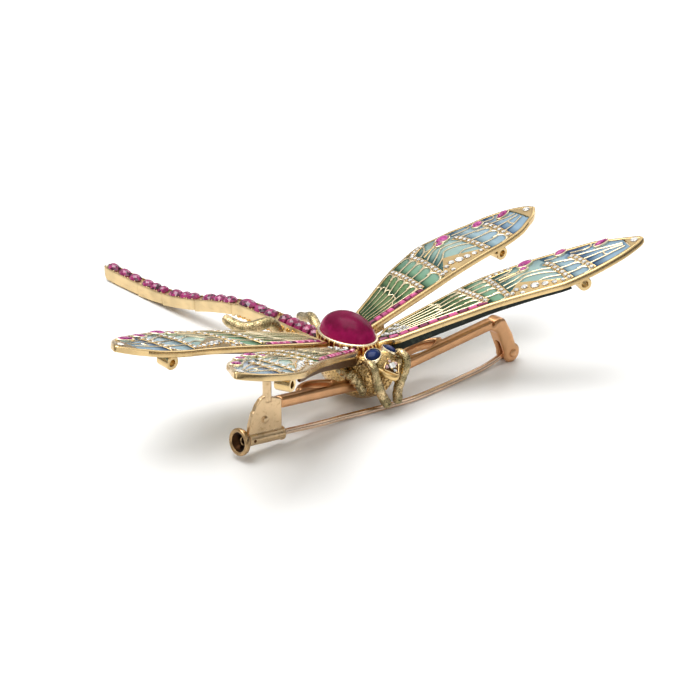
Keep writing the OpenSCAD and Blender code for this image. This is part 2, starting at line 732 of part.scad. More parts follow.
// Folded against the thorax below the forewing
module leg_mid(s) {
    x = thorax_r;
    placed() color("goldenrod") rod([
        [both([x + 0.4, -5, body_z + 2], s), leg_r], [both([x + 0.4, -7, body_z + 1.6], s), leg_r * 1.3],
        [both([x - 0.4, -8.8, body_z + 0.4], s), leg_r * 1.3],
        [both([x - 1.2, -9.6, body_z - 1.2], s), leg_r * 1.1],
        [both([x - 1.6, -9.2, body_z - 2.6], s), leg_r * 0.7],
    ], 8, [1, 0, 0]);
}
module leg_mid_left() {
    leg_mid(-1);
}
module leg_mid_right() {
    leg_mid(1);
}

// Course of a rear leg: distance from the middle, distance behind the thorax, height above the
// abdomen's back, thickness as a share of leg_d
REAR_LEFT = [
    [2.9, 0.2, -1.5, 1], [3.1, 3, -1.2, 1], [3.8, 7, -0.6, 1], [4.7, 9.2, 1.1, 1.1], [6, 10, 1.4, 1.2],
    [7.8, 12, -0.1, 1.3], [9.2, 14.4, -0.7, 1.3], [10.2, 17, 0.4, 1.15], [10.6, 18.6, 1.1, 0.8],
];
REAR_RIGHT = [
    [2.9, 0.2, -1.5, 1], [3, 3, -1.2, 1], [3.2, 5.6, -0.6, 1], [4, 7.9, 0.45, 1.1], [5, 10.5, 0.55, 1.2],
    [6.2, 13.6, -0.9, 1.2], [7.2, 16.4, -2.6, 1],
];
module leg_rear(course, s) {
    placed() color("goldenrod") rod([for (c = course) [
        [s * c[0], thorax_back + c[1], back_z + c[2]], leg_r * c[3]
    ]]);
}
module leg_rear_left() {
    leg_rear(REAR_LEFT, -1);
}
module leg_rear_right() {
    leg_rear(REAR_RIGHT, 1);
}

// Brooch fitting

pin_y = -pin_out;
hinge_z = 1.9;
eye_r = 1.25;
eye_t = 1.1;
bar_in_y = -6.4;
bar_run = hinge_x - 5;
bar_turn = atan2(pin_y - bar_in_y, bar_run);
bar_span = norm([bar_run, pin_y - bar_in_y]);
// Eyelet that widens each half of the bar backwards
eyelet_at = 0.45;
eyelet_len = 11;
eyelet_deep = 5;
eyelet_wall = 0.8;
bar_rise = atan2(bar_z - bar_mid_z, bar_span);

function bar_line(d) = mix(bar_mid_z, bar_z, d / bar_span);

module leaf_shape(l, h) {
    n = 12;
    top = [for (i = [0:n]) let (q = i / n) [(q - 0.5) * l, h / 2 * pow(sin(180 * q), 0.8)]];
    polygon(concat(top, [for (i = [n - 1:-1:1]) [top[i][0], -top[i][1]]]));
}

// Side view of half the bar, from the middle outwards
module bar_half(grow = 0) {
    polygon([
        [-1, bar_line(-1) - bar_t / 2 - grow], [bar_span, bar_z - bar_t / 2 - grow],
        [bar_span, bar_z + bar_t / 2 + grow], [-1, bar_line(-1) + bar_t / 2 + grow],
    ]);
}

module at_eyelet(s) {
    d = eyelet_at * bar_span;
    mirror([s < 0 ? 1 : 0, 0, 0]) translate([0, bar_in_y, 0]) rotate([0, 0, bar_turn])
        translate([d, (eyelet_deep - bar_w) / 2, bar_line(d)]) rotate([0, -bar_rise, 0]) children();
}

module at_bar(s) {
    mirror([s < 0 ? 1 : 0, 0, 0]) translate([0, bar_in_y, 0]) rotate([0, 0, bar_turn]) rotate([90, 0, 0])
        children();
}

module bar_channel() {
    for (s = [1, -1]) at_bar(s) translate([0, 0, -bar_w / 2 - seat]) linear_extrude(bar_w + 2 * seat)
        bar_half(seat);
}

ear_gap = eye_t + 2 * run;
module ear_plate() {
    top = bar_z + bar_t / 2;
    difference() {
        union() {
            // Upright from the bar's rounded corner to the rivet
            polygon([
                [hinge_x - 5.2, top - 1.9], [hinge_x - 4.6, top - 0.4], [hinge_x - 3.4, top],
                [hinge_x - 2.2, top - 0.5], [hinge_x - 0.1, top - 4.2],
                [hinge_x + eye_r - 0.1, hinge_z + 0.6], [hinge_x - eye_r - 0.5, hinge_z + 0.2],
                [hinge_x - 3.9, top - 2.9],
            ]);
            translate([hinge_x, hinge_z]) circle(r = hinge_z - 0.01, $fn = 40);
        }
        translate([hinge_x, hinge_z]) circle(d = rivet_d + 2 * seat, $fn = 40);
    }
}

module brooch_bar() {
    placed() color("rosybrown") {
        difference() {
            union() {
                for (s = [1, -1]) {
                    at_bar(s) translate([0, 0, -bar_w / 2]) linear_extrude(bar_w) bar_half();
                    at_eyelet(s) linear_extrude(bar_t, center = true) leaf_shape(eyelet_len, eyelet_deep);
                }
                translate([0, pin_y, 0]) rotate([90, 0, 0])
                    translate([0, 0, -ear_gap / 2 - ear_t]) linear_extrude(ear_gap + 2 * ear_t) ear_plate();
            }
            for (s = [1, -1]) at_eyelet(s) linear_extrude(2 * bar_t, center = true)
                leaf_shape(eyelet_len - 3.2 * eyelet_wall, eyelet_deep - 2 * eyelet_wall);
            // The slot between the ears
            translate([hinge_x - eye_r - 1.6, pin_y - ear_gap / 2, -1])
                cube([past, ear_gap, 1 + hinge_z + 3.6]);
            // Room for the catch bracket
            translate([-bracket_in + seat - past, pin_y + prong_d / 2 + seat - past, -1]) cube(past);
        }
    }
}

module hinge_rivet() {
    reach = ear_gap / 2 + ear_t;
    placed() color("rosybrown") translate([hinge_x, pin_y, hinge_z]) rotate([90, 0, 0]) {
        cylinder(d = rivet_d, h = 2 * reach + 0.4, center = true, $fn = 40);
        for (s = [1, -1]) translate([0, 0, s * (reach + seat + 0.2)])
            cylinder(d = rivet_d + 0.7, h = 0.4, center = true, $fn = 40);
    }
}

// Course of the pin stem: share of the way from the hinge to the catch, height as a share of the
// hinge's height, forward bow as a share of pin_bow
PIN = [
    [0, 1, 0], [0.045, 0.6, 0.02], [0.09, 0.4, 0.13], [0.136, 0.33, 0.27], [0.205, 0.31, 0.41],
    [0.277, 0.305, 0.56], [0.342, 0.305, 0.65], [0.406, 0.305, 0.73], [0.463, 0.305, 0.73],
    [0.54, 0.305, 0.53], [0.62, 0.32, 0.27], [0.7, 0.42, 0.07], [0.8, 0.63, 0],
    [0.93, 1.13, 0], [0.956, 1.235, 0], [1, 1.38, 0],
];
pin_run = hinge_x + catch_x + 2.6;
module pin_stem() {
    steps = 30;
    placed() color("rosybrown") {
        translate([hinge_x, pin_y, hinge_z]) rotate([90, 0, 0]) difference() {
            cylinder(r = eye_r, h = eye_t, center = true, $fn = 40);
            cylinder(d = rivet_d + 2 * run, h = 2 * eye_t, center = true, $fn = 40);
        }
        difference() {
            rod([for (i = [0:steps]) let (s = mix(0.012, 1, i / steps))
                [[hinge_x - pin_run * s, pin_y - pin_bow * curve(s, PIN, 2), hinge_z * curve(s, PIN, 1)],
                pin_d / 2 * (s > 0.95 ? mix(1, 0.25, (s - 0.95) / 0.05) : 1)]], 12);
            translate([hinge_x, pin_y, hinge_z]) rotate([90, 0, 0])
                cylinder(r = (rivet_d + eye_r) / 2, h = 4, center = true, $fn = 40);
        }
    }
}

// Catch: the fixed tube's inner end is the origin, its axis runs outwards
tube_z = 2.35;
bracket_in = catch_x + 0.4;
prong_d = 1.6;
travel = 3.5;
module at_catch() {
    translate([-catch_x, pin_y, tube_z]) rotate([0, tube_tilt - 90, 0]) children();
}
module catch_bracket() {
    placed() color("gold") {
        difference() {
            union() {
                at_catch() cylinder(d = tube_d, h = tube_len, $fn = 48);
                translate([0, pin_y + bracket_t / 2, 0]) rotate([90, 0, 0]) linear_extrude(bracket_t)
                polygon([
                    [-bracket_in, tube_z + 0.6], [-bracket_in, bar_z + 0.3], [-bracket_in - 2.1, bar_z + 1.2],
                    [-bracket_in - 3.9, bar_z + 1.8], [-bracket_in - 4.8, bar_z + 1.5],
                    [-bracket_in - 5.8, bar_z + 0.5], [-bracket_in - 6.3, bar_z - 0.5],
                    [-bracket_in - 6.7, bar_z - 0.8], [-bracket_in - 7.4, bar_z - 3],
                    [-catch_x - tube_len + 0.1, tube_z + tube_len * sin(tube_tilt) + 1.2],
                    [-catch_x - tube_len + 0.2, tube_z + tube_len * sin(tube_tilt) + 0.6],
                ]);
                // Prong on the plate's top
                translate([-bracket_in - 3, pin_y, bar_z + 0.6]) cylinder(d = prong_d, h = 4.2, $fn = 24);
            }
            at_catch() translate([0, 0, -5]) cylinder(d = tube_bore, h = tube_len + 10, $fn = 48);
            // The slot that lets the pin stem out
            translate([-catch_x - 3.1, pin_y - pin_d / 2 - 0.12, tube_z - past])
                cube([past / 2, pin_d + 0.24, past]);
        }
    }
}

slide_d = tube_bore - 2 * run;
module catch_slide() {
    inner = 3;
    placed() color("gold") at_catch() difference() {
        union() {
            translate([0, 0, inner]) cylinder(d = slide_d, h = tube_len - inner + 0.4, $fn = 48);
            translate([0, 0, tube_len + 0.15]) cylinder(d1 = tube_d, d2 = flare_d, h = 1.3, $fn = 48);
            translate([0, 0, tube_len + 1.45]) cylinder(d = flare_d, h = 0.8, $fn = 48);
        }
        translate([0, 0, tube_len - 1.5]) cylinder(d = 0.75 * slide_d, h = 10, $fn = 48);
        translate([0, 0, tube_len + 0.7])
            cylinder(d1 = 0.75 * slide_d, d2 = flare_d - 1.2, h = 1.6, $fn = 48);
    }
}

thorax();
head();
eye_left();
eye_right();
face_diamond();
ruby();
ruby_bezel();
abdomen();
abdomen_stones();
abdomen_calibre();
wing_fore_left();
wing_fore_right();
wing_hind_left();
wing_hind_right();
enamel_fore_left();
enamel_fore_right();
enamel_hind_left();
enamel_hind_right();
calibre_fore_left();
calibre_fore_right();
calibre_hind_left();
calibre_hind_right();
diamonds_fore_left();
diamonds_fore_right();
diamonds_hind_left();
diamonds_hind_right();
wing_pink_stones();
leg_front_left();
leg_front_right();
leg_mid_left();
leg_mid_right();
leg_rear_left();
leg_rear_right();
brooch_bar();
catch_bracket();
catch_slide();
hinge_rivet();
pin_stem();
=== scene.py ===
"""Dragonfly brooch: gold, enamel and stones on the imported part, with the stage it is shown on.

Lengths in this file are millimetres until a mesh is written, which is in metres.
"""

import math

import bmesh
import bpy
import numpy as np
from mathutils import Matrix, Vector


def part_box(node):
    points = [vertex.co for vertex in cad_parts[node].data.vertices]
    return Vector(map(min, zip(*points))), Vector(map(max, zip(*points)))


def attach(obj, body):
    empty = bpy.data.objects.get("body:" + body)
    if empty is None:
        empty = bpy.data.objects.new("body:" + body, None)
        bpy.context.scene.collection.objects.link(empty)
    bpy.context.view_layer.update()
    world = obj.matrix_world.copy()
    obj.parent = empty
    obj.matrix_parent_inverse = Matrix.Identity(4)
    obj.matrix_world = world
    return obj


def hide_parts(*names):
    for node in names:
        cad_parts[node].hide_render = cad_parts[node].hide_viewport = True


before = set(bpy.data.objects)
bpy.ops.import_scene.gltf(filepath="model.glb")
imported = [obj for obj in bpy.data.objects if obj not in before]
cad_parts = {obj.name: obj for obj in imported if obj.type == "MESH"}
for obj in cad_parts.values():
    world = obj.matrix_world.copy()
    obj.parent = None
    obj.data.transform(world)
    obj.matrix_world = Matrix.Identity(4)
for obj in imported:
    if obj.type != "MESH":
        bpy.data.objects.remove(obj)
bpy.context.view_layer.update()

bl_info = {
    "name": "Dragonfly brooch",
    "version": (1, 0, 0),
    "blender": (4, 5, 0),
    "location": "View3D > Sidebar > Brooch",
    "description": "Builds the gold, the enamel and the stones of a dragonfly brooch",
    "category": "Add Mesh",
}

MM = 0.001
# The lengths below are measured from a point below the ruby; the frame's origin is below the box's middle
MIDDLE = np.array((0.0, 23.594, 0.0))


def middle(node):
    """Centre of a CAD node's box, in mm."""
    lo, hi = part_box(node)
    return (np.array(lo) + np.array(hi)) / 2 / MM + MIDDLE


def extent(node):
    """Lengths of a CAD node's box along X, Y and Z, in mm."""
    lo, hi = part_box(node)
    return (np.array(hi) - np.array(lo)) / MM


# ---------------------------------------------------------------- shapes


class Shape:
    """Closed shells gathered into one mesh. Each shell is turned outwards by the sign of its volume."""

    def __init__(self):
        self.verts, self.quads, self.tris = [], [], []
        self.point_data, self.face_data = {}, {}
        self.count = 0

    def add(self, verts, quads=None, tris=None, points=None, tone=None):
        verts = np.asarray(verts, float).reshape(-1, 3)
        quads = np.zeros((0, 4), int) if quads is None else np.asarray(quads, int).reshape(-1, 4)
        tris = np.zeros((0, 3), int) if tris is None else np.asarray(tris, int).reshape(-1, 3)
        centre = verts.mean(axis=0)
        halves = np.concatenate([quads[:, [0, 1, 2]], quads[:, [0, 2, 3]], tris])
        a, b, c = (verts[halves[:, i]] - centre for i in range(3))
        if (a * np.cross(b, c)).sum() < 0:
            quads, tris = quads[:, ::-1], tris[:, ::-1]
        self.verts.append(verts)
        self.quads.append(quads + self.count)
        self.tris.append(tris + self.count)
        for name in set(self.point_data) | set(points or {}):
            kept = self.point_data.setdefault(name, [np.zeros(self.count)] if self.count else [])
            kept.append(np.broadcast_to(np.asarray((points or {}).get(name, 0.0), float), (len(verts),)))
        tones = np.full(len(quads) + len(tris), 0.5) if tone is None else np.asarray(tone, float)
        self.face_data.setdefault("q", []).append(tones[: len(quads)])
        self.face_data.setdefault("t", []).append(tones[len(quads) :])
        self.count += len(verts)

    def mesh(self, name, smooth=True):
        verts = (np.concatenate(self.verts) - MIDDLE) * MM
        quads, tris = np.concatenate(self.quads), np.concatenate(self.tris)
        mesh = bpy.data.meshes.new(name)
        mesh.vertices.add(len(verts))
        mesh.vertices.foreach_set("co", verts.astype(np.float32).ravel())
        loops = np.concatenate([quads.ravel(), tris.ravel()]).astype(np.int32)
        starts = np.concatenate([np.arange(len(quads)) * 4, len(quads) * 4 + np.arange(len(tris)) * 3])
        mesh.loops.add(len(loops))
        mesh.loops.foreach_set("vertex_index", loops)
        mesh.polygons.add(len(starts))
        mesh.polygons.foreach_set("loop_start", starts.astype(np.int32))
        mesh.polygons.foreach_set("use_smooth", np.full(len(starts), smooth))
        mesh.update(calc_edges=True)
        values = {(key, "POINT"): parts for key, parts in self.point_data.items()}
        values["tone", "FACE"] = self.face_data["q"] + self.face_data["t"]
        for (key, domain), parts in values.items():
            made = mesh.attributes.new(key, "FLOAT", domain)
            made.data.foreach_set("value", np.concatenate(parts).astype(np.float32))
        mesh.validate()
        return mesh


def add_object(name, data):
    """Puts a mesh, a light or a camera into the scene."""
    obj = bpy.data.objects.new(name, data)
    bpy.context.scene.collection.objects.link(obj)
    return obj


def piece(name, shape, look, replaces=(), body="brooch", smooth=True, sharp=None):
    """Writes a shape as an object with a finish that rides on a body. Edges that turn by more than the
    angle sharp, in degrees, stay sharp."""
    obj = add_object(name, shape.mesh(name, smooth))
    obj.data.materials.append(finish(look))
    if sharp is not None:
        obj.data.set_sharp_from_angle(angle=math.radians(sharp))
    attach(obj, body)
    if replaces:
        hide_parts(*replaces)


def grid_quads(rows, cols, wrap_rows=False, wrap_cols=False):
    """Faces of a grid of rows by cols points, numbered row by row."""
    r = np.arange(rows if wrap_rows else rows - 1)[:, None]
    c = np.arange(cols if wrap_cols else cols - 1)[None, :]
    r1, c1 = (r + 1) % rows, (c + 1) % cols
    corners = np.broadcast_arrays(r * cols + c, r * cols + c1, r1 * cols + c1, r1 * cols + c)
    return np.stack(corners, -1).reshape(-1, 4)


def end_fans(rows, cols):
    """Triangles that close a tube of rows by cols points. Those of an end meet in its pole, and the two
    poles are numbered after the tube's own points."""
    k = np.arange(cols)
    after, last, pole = (k + 1) % cols, (rows - 1) * cols, np.full(cols, rows * cols)
    return np.concatenate([np.stack([pole, after, k], -1), np.stack([pole + 1, last + k, last + after], -1)])


def capped(rings, poles):
    """A tube of rings with a pole at each end."""
    rows, cols = rings.shape[:2]
    verts = np.concatenate([rings.reshape(-1, 3), poles])
    return verts, grid_quads(rows, cols, False, True), end_fans(rows, cols)


def unit(v):
    """Vectors made one long."""
    return v / np.maximum(np.linalg.norm(v, axis=-1, keepdims=True), 1e-12)


def evenly(path, count):
    """Points along a path, spaced evenly by length."""
    length = np.concatenate([[0], np.cumsum(np.linalg.norm(np.diff(path, axis=0), axis=1))])
    at = np.linspace(0, length[-1], count)
    return np.stack([np.interp(at, length, path[:, k]) for k in range(path.shape[1])], -1)


def smooth_path(points, count):
    """A Catmull-Rom curve through the points: each span blends its two ends and the slopes to their
    neighbours."""
    p = np.asarray(points, float)
    ext = np.concatenate([[2 * p[0] - p[1]], p, [2 * p[-1] - p[-2]]])
    t = np.linspace(0, len(p) - 1, 24 * (len(p) - 1) + 1)
    i = np.minimum(t.astype(int), len(p) - 2)
    f = (t - i)[:, None]
    a, b, c, d = (ext[i + k] for k in range(4))
    curved = 2 * b + (c - a) * f + (2 * a - 5 * b + 4 * c - d) * f**2 + (3 * b - a - 3 * c + d) * f**3
    return evenly(0.5 * curved, count)


def rounded(loop, rounds):
    """A closed outline with softer corners: each round blends every point with its two neighbours."""
    for _ in range(rounds):
        loop = (np.roll(loop, 1, 0) + 2 * loop + np.roll(loop, -1, 0)) / 4
    return loop


def turned(x=0.0, y=0.0, z=0.0):
    """Rotation matrix: about X first, then Y, then Z, in degrees."""
    (cx, sx), (cy, sy), (cz, sz) = ((math.cos(math.radians(a)), math.sin(math.radians(a))) for a in (x, y, z))
    rx = np.array([[1, 0, 0], [0, cx, -sx], [0, sx, cx]])
    ry = np.array([[cy, 0, sy], [0, 1, 0], [-sy, 0, cy]])
    rz = np.array([[cz, -sz, 0], [sz, cz, 0], [0, 0, 1]])
    return rz @ ry @ rx


def steps(x, low, high):
    """A smooth step from 0 at low to 1 at high."""
    t = np.clip((np.asarray(x, float) - low) / (high - low), 0, 1)
    return t * t * (3 - 2 * t)


def circle(n, turn=0.0):
    """Corners of a regular polygon round the origin."""
    a = np.arange(n) * 2 * np.pi / n + turn
    return np.stack([np.cos(a), np.sin(a)], -1)


def sweep(path, profile, width=1.0, height=None, up=(0, 0, 1), closed=False, swell=None):
    """Carries a closed profile along a path: each ring is the path's point plus the profile's first
    number times the side direction and its second times the up direction, and swell, one number for
    each point, makes ridges. Open ends are rounded off by two smaller rings and a pole."""
    path = np.asarray(path, float)
    n, m = len(path), len(profile)
    width = np.broadcast_to(np.asarray(width, float), (n,)).copy()
    height = width if height is None else np.broadcast_to(np.asarray(height, float), (n,)).copy()
    if closed:
        tangent = unit(np.roll(path, -1, 0) - np.roll(path, 1, 0))
    else:
        tangent = unit(np.gradient(path, axis=0))
    up = np.broadcast_to(np.asarray(up, float), (n, 3))
    side = unit(np.cross(tangent, up))
    over = np.cross(side, tangent)
    ring = profile[None, :, 0, None] * side[:, None] * width[:, None, None]
    ring = ring + profile[None, :, 1, None] * over[:, None] * height[:, None, None]
    if swell is not None:
        ring = ring * swell[..., None]
    rings = path[:, None] + ring
    if closed:
        return rings, grid_quads(n, m, True, True)
    caps, poles = [], []
    for i, sign in ((0, -1), (-1, 1)):
        out = sign * tangent[i] * width[i]
        caps.append([path[i] + (rings[i] - path[i]) * k + out * d for k, d in ((0.8, 0.25), (0.45, 0.4))])
        poles.append(path[i] + out * 0.46)
    return capped(np.concatenate([caps[0][::-1], rings, caps[1]]), poles)


def lathe(profile, centre, axis, across, n=48):
    """Turns a profile of (radius, distance along the axis) round an axis. One that starts on the axis
    also ends on it, and one that starts off it is closed on itself as a ring."""
    axis, across = unit(np.asarray(axis, float)), unit(np.asarray(across, float))
    third = np.cross(axis, across)
    p = np.asarray(profile, float)
    spin = circle(n)
    pts = (
        np.asarray(centre, float)
        + p[:, None, 1, None] * axis
        + p[:, None, 0, None] * (spin[None, :, 0, None] * across + spin[None, :, 1, None] * third)
    )
    if p[0, 0] > 1e-9:
        return pts, grid_quads(len(p), n, True, True)
    return capped(pts[1:-1], pts[[0, -1], 0])


def slab(top, bottom):
    """A closed slab between two grids of points of the same size: both faces and the four edges."""
    rows, cols = top.shape[:2]
    n = rows * cols
    idx = np.arange(n).reshape(rows, cols)
    rim = np.concatenate([idx[0, :-1], idx[:-1, -1], idx[-1, :0:-1], idx[:0:-1, 0]])
    nxt = np.roll(rim, -1)
    quads = grid_quads(rows, cols)
    walls = np.stack([rim, nxt, nxt + n, rim + n], -1)
    verts = np.concatenate([top.reshape(-1, 3), bottom.reshape(-1, 3)])
    return verts, np.concatenate([quads[:, ::-1], quads + n, walls])


def gem(shape, place, turn, rings, n, rng, twist=True, spread=0.5, shift=0.0):
    """Adds a cut stone: rings of n corners, each ring given as (half length, half width, height), every
    second ring turned by half a corner if twist is set, a flat table on top and a flat back. Each face
    gets its own tone, as each facet of a cut stone mirrors something else. The tones differ by up to
    spread from a middle that shift makes lighter or darker."""
    pts = []
    for r, (a, b, z) in enumerate(rings):
        spin = circle(n, math.pi / n * (r % 2 if twist else 1))
        pts.append(np.stack([a * spin[:, 0], b * spin[:, 1], np.full(n, z)], -1))
    verts = np.concatenate(pts + [[[0, 0, rings[0][2]], [0, 0, rings[-1][2]]]])
    k = np.arange(n)
    sides = []
    for r in range(len(rings) - 1):
        a, b = r * n + k, r * n + (k + 1) % n
        above = (r + 1) * n
        if twist and r % 2 == 0:
            c, d = above + k, above + (k - 1) % n
            sides += [np.stack([a, b, c], -1), np.stack([a, c, d], -1)]
        else:
            c, d = above + k, above + (k + 1) % n
            sides += [np.stack([a, b, d], -1), np.stack([a, d, c], -1)]
    fans = end_fans(len(rings), n)
    tris = np.concatenate([fans[:n], *sides, fans[n:]])
    facets = rng.uniform(0.5 - spread, 0.5 + spread, len(tris) - 2 * n)
    tone = np.concatenate([np.full(n, 0.3), facets, np.full(n, rng.uniform(0.45, 0.75))])
    shape.add(verts @ turn.T + place, None, tris, None, np.clip(tone + shift, 0, 1))


def bead(place, r, n=8):
    """A small ball: rings of latitude between two poles."""
    lat = np.linspace(-np.pi / 2, np.pi / 2, 6)
    profile = np.stack([r * np.cos(lat), r * np.sin(lat)], -1)
    profile[[0, -1], 0] = 0
    return lathe(profile, place, (0, 0, 1), (1, 0, 0), n)


# ---------------------------------------------------------------- finishes


class Wire:
    """One value in a material, with arithmetic that adds the nodes it needs."""

    def __init__(self, finish, socket):
        self.finish, self.socket = finish, socket

    def _math(self, operation, a, b):
        return self.finish.node("ShaderNodeMath", {"operation": operation}, {0: a, 1: b})

    def __add__(self, other):
        return self._math("ADD", self, other)

    def __sub__(self, other):
        return self._math("SUBTRACT", self, other)

    def __rsub__(self, other):
        return self._math("SUBTRACT", other, self)

    def __mul__(self, other):
        return self._math("MULTIPLY", self, other)

    __radd__ = __add__
    __rmul__ = __mul__

    def clamped(self):
        return self.finish.node("ShaderNodeMapRange", {"clamp": True}, {"Value": self})

    def smooth(self, low, high):
        return self.finish.node(
            "ShaderNodeMapRange",
            {"interpolation_type": "SMOOTHSTEP"},
            {"Value": self, "From Min": low, "From Max": high},
        )


class Finish:
    """A material, or the world, under construction."""

    def __init__(self, name, world=None):
        self.material = world or bpy.data.materials.new(name)
        self.material.use_nodes = True
        self.tree = self.material.node_tree
        self.shader = self.tree.nodes["Background" if world else "Principled BSDF"]
        self.place = None

    def node(self, kind, settings=None, sockets=None, output=0):
        made = self.tree.nodes.new(kind)
        for key, value in (settings or {}).items():
            if key == "stops":
                ramp = made.color_ramp
                while len(ramp.elements) < len(value):
                    ramp.elements.new(0.5)
                for element, (at, colour) in zip(ramp.elements, value):
                    element.position, element.color = at, (*colour, 1)
            else:
                setattr(made, key, value)
        for key, value in (sockets or {}).items():
            self.feed(made.inputs[key], value)
        return Wire(self, made.outputs[output])

    def feed(self, socket, value):
        if isinstance(value, Wire):
            self.tree.links.new(value.socket, socket)
        elif isinstance(value, (tuple, list)) and len(value) == 3 and len(socket.default_value) == 4:
            socket.default_value = (*value, 1)
        else:
            socket.default_value = value

    def where(self):
        if self.place is None:
            self.place = self.node("ShaderNodeTexCoord", output="Object")
        return self.place

    def noise(self, scale, detail=3.0, rough=0.5, stretch=None):
        at = self.where()
        if stretch is not None:
            at = self.node("ShaderNodeMapping", None, {"Vector": at, "Scale": stretch})
        sockets = {"Vector": at, "Scale": scale, "Detail": detail, "Roughness": rough}
        return self.node("ShaderNodeTexNoise", None, sockets, "Fac")

    def cells(self, scale):
        return self.node("ShaderNodeTexVoronoi", None, {"Vector": self.where(), "Scale": scale}, "Distance")

    def attribute(self, name):
        return self.node("ShaderNodeAttribute", {"attribute_name": name}, None, "Fac")

    def mix(self, factor, a, b):
        return self.node("ShaderNodeMix", {"data_type": "RGBA"}, {0: factor, 6: a, 7: b}, 2)

    def ramp(self, factor, stops):
        return self.node("ShaderNodeValToRGB", {"stops": stops}, {"Fac": factor}, "Color")

    def bump(self, height, strength, distance):
        return self.node(
            "ShaderNodeBump", None, {"Height": height, "Strength": strength, "Distance": distance * MM}, "Normal"
        )

    def surface(self, **sockets):
        for key, value in sockets.items():
            self.feed(self.shader.inputs[key.replace("_", " ")], value)
        return self.material


def shade(colour, k):
    """A colour made lighter or darker."""
    return tuple(min(1.0, c * k) for c in colour)


def polished_gold(name, colour, rough, wear):
    """Polished gold: a slow drift of tone, fine scratches in the roughness and a faint uneven surface."""
    f = Finish(name)
    drift = f.noise(260, 2)
    scratch = f.noise(1500, 4, 0.6, (1.0, 0.25, 1.0))
    tone = f.mix(drift.smooth(0.3, 0.7), shade(colour, 0.86), shade(colour, 1.06))
    tarnish = (scratch.smooth(0.52, 0.75) * wear).clamped()
    return f.surface(
        Base_Color=f.mix(tarnish, tone, shade((colour[0], colour[1] * 0.86, colour[2] * 0.7), 0.62)),
        Metallic=1.0,
        Roughness=rough + scratch * 0.16,
        Normal=f.bump(drift + scratch * 0.12, 0.25, 0.05),
    )


def chased_gold(name, colour):
    """Stippled gold: close punch marks over the surface, with painted shade in their bottoms and bright on their
    edges.
    """
    f = Finish(name)
    punch = f.cells(2300)
    drift = f.noise(420, 3)
    deep = punch.smooth(0.05, 0.62)
    tone = f.mix(drift.smooth(0.3, 0.75), shade(colour, 0.8), shade(colour, 1.08))
    return f.surface(
        Base_Color=f.mix(deep, shade((colour[0], colour[1] * 0.82, colour[2] * 0.6), 0.42), tone),
        Metallic=1.0,
        Roughness=0.24 + (1 - deep) * 0.25,
        Normal=f.bump(deep + drift * 0.8, 0.8, 0.12),
    )


def leg_gold(name, colour):
    """Finely chased gold with olive shadows: small punch marks, with painted shade in their bottoms, over broad,
    darker patches.
    """
    f = Finish(name)
    punch = f.cells(4200)
    patch = f.noise(620, 3, 0.55)
    deep = punch.smooth(0.05, 0.6)
    olive = shade((colour[0] * 0.8, colour[1] * 0.88, colour[2] * 0.8), 0.5)
    tone = f.mix(patch.smooth(0.38, 0.66), olive, shade(colour, 1.05))
    return f.surface(
        Base_Color=f.mix(deep, shade(colour, 0.45), tone),
        Metallic=1.0,
        Roughness=0.2 + (1 - deep) * 0.2,
        Normal=f.bump(deep + patch * 0.6, 0.8, 0.07),
    )


def wing_enamel(name):
    """Translucent enamel: green at the root, teal further out, blue at the tip. It carries painted shade: it
    darkens against the wires, where it is deep, and each pane runs from dark at its inner end to light at
    its outer end."""
    f = Finish(name)
    span, edge, phase = f.attribute("span"), f.attribute("edge"), f.attribute("phase")
    cloud = f.noise(500, 3)
    along = (span + (cloud - 0.5) * 0.06).clamped()
    light = f.ramp(
        along,
        [
            (0.0, (0.17, 0.21, 0.09)), (0.17, (0.12, 0.22, 0.09)), (0.3, (0.15, 0.29, 0.19)),
            (0.45, (0.25, 0.38, 0.32)), (0.62, (0.29, 0.40, 0.41)), (0.8, (0.24, 0.36, 0.47)),
            (1.0, (0.22, 0.33, 0.42)),
        ],
    )
    dark = f.ramp(
        along,
        [
            (0.0, (0.015, 0.045, 0.012)), (0.17, (0.005, 0.035, 0.012)), (0.3, (0.004, 0.04, 0.025)),
            (0.45, (0.015, 0.06, 0.06)), (0.62, (0.015, 0.06, 0.1)), (0.8, (0.012, 0.045, 0.11)),
            (1.0, (0.01, 0.045, 0.09)),
        ],
    )
    # The dark ramp takes over with painted shade, against the wires and at the panes' inner ends
    deep = (1 - edge.smooth(0.0, 0.5)) * 0.5 + phase * 1.45 + 0.02
    return f.surface(
        Base_Color=f.mix((deep + (cloud - 0.5) * 0.35).clamped(), light, dark),
        Metallic=0.0,
        Roughness=0.14,
        IOR=1.4,
        Specular_IOR_Level=0.18,
        Normal=f.bump(edge.smooth(0.0, 0.6) + cloud * 0.08, 0.5, 0.14),
    )


def cut_gem(name, dark, light, rough, ior, glow):
    """A faceted stone: every facet has its own tone between a dark and a light colour."""
    f = Finish(name)
    tone = f.attribute("tone")
    cloud = f.noise(700, 2)
    return f.surface(
        Base_Color=f.mix((tone + (cloud - 0.5) * 0.25).clamped(), dark, light),
        Metallic=0.0,
        Roughness=rough,
        IOR=ior,
        # A faint painted glow in each facet's own colour
        Emission_Color=f.mix(tone, dark, light),
        Emission_Strength=glow,
    )


def ruby_finish(name):
    """A ruby dome: deep crimson, with a painted glow that turns it pinker towards its rim, and soft clouds inside."""
    f = Finish(name)
    rim = f.attribute("rim")
    cloud = f.noise(230, 4, 0.6)
    veil = f.noise(800, 2)
    body = f.mix(cloud.smooth(0.3, 0.75), (0.10, 0.002, 0.022), (0.20, 0.005, 0.05))
    return f.surface(
        # The pinker colour near the girdle is a painted glow
        Base_Color=f.mix((rim + (veil - 0.5) * 0.3).smooth(0.7, 1.1), body, (0.34, 0.009, 0.09)),
        Metallic=0.0,
        Roughness=0.22,
        IOR=1.4,
        Specular_IOR_Level=0.1,
        Normal=f.bump(veil, 0.05, 0.05),
    )


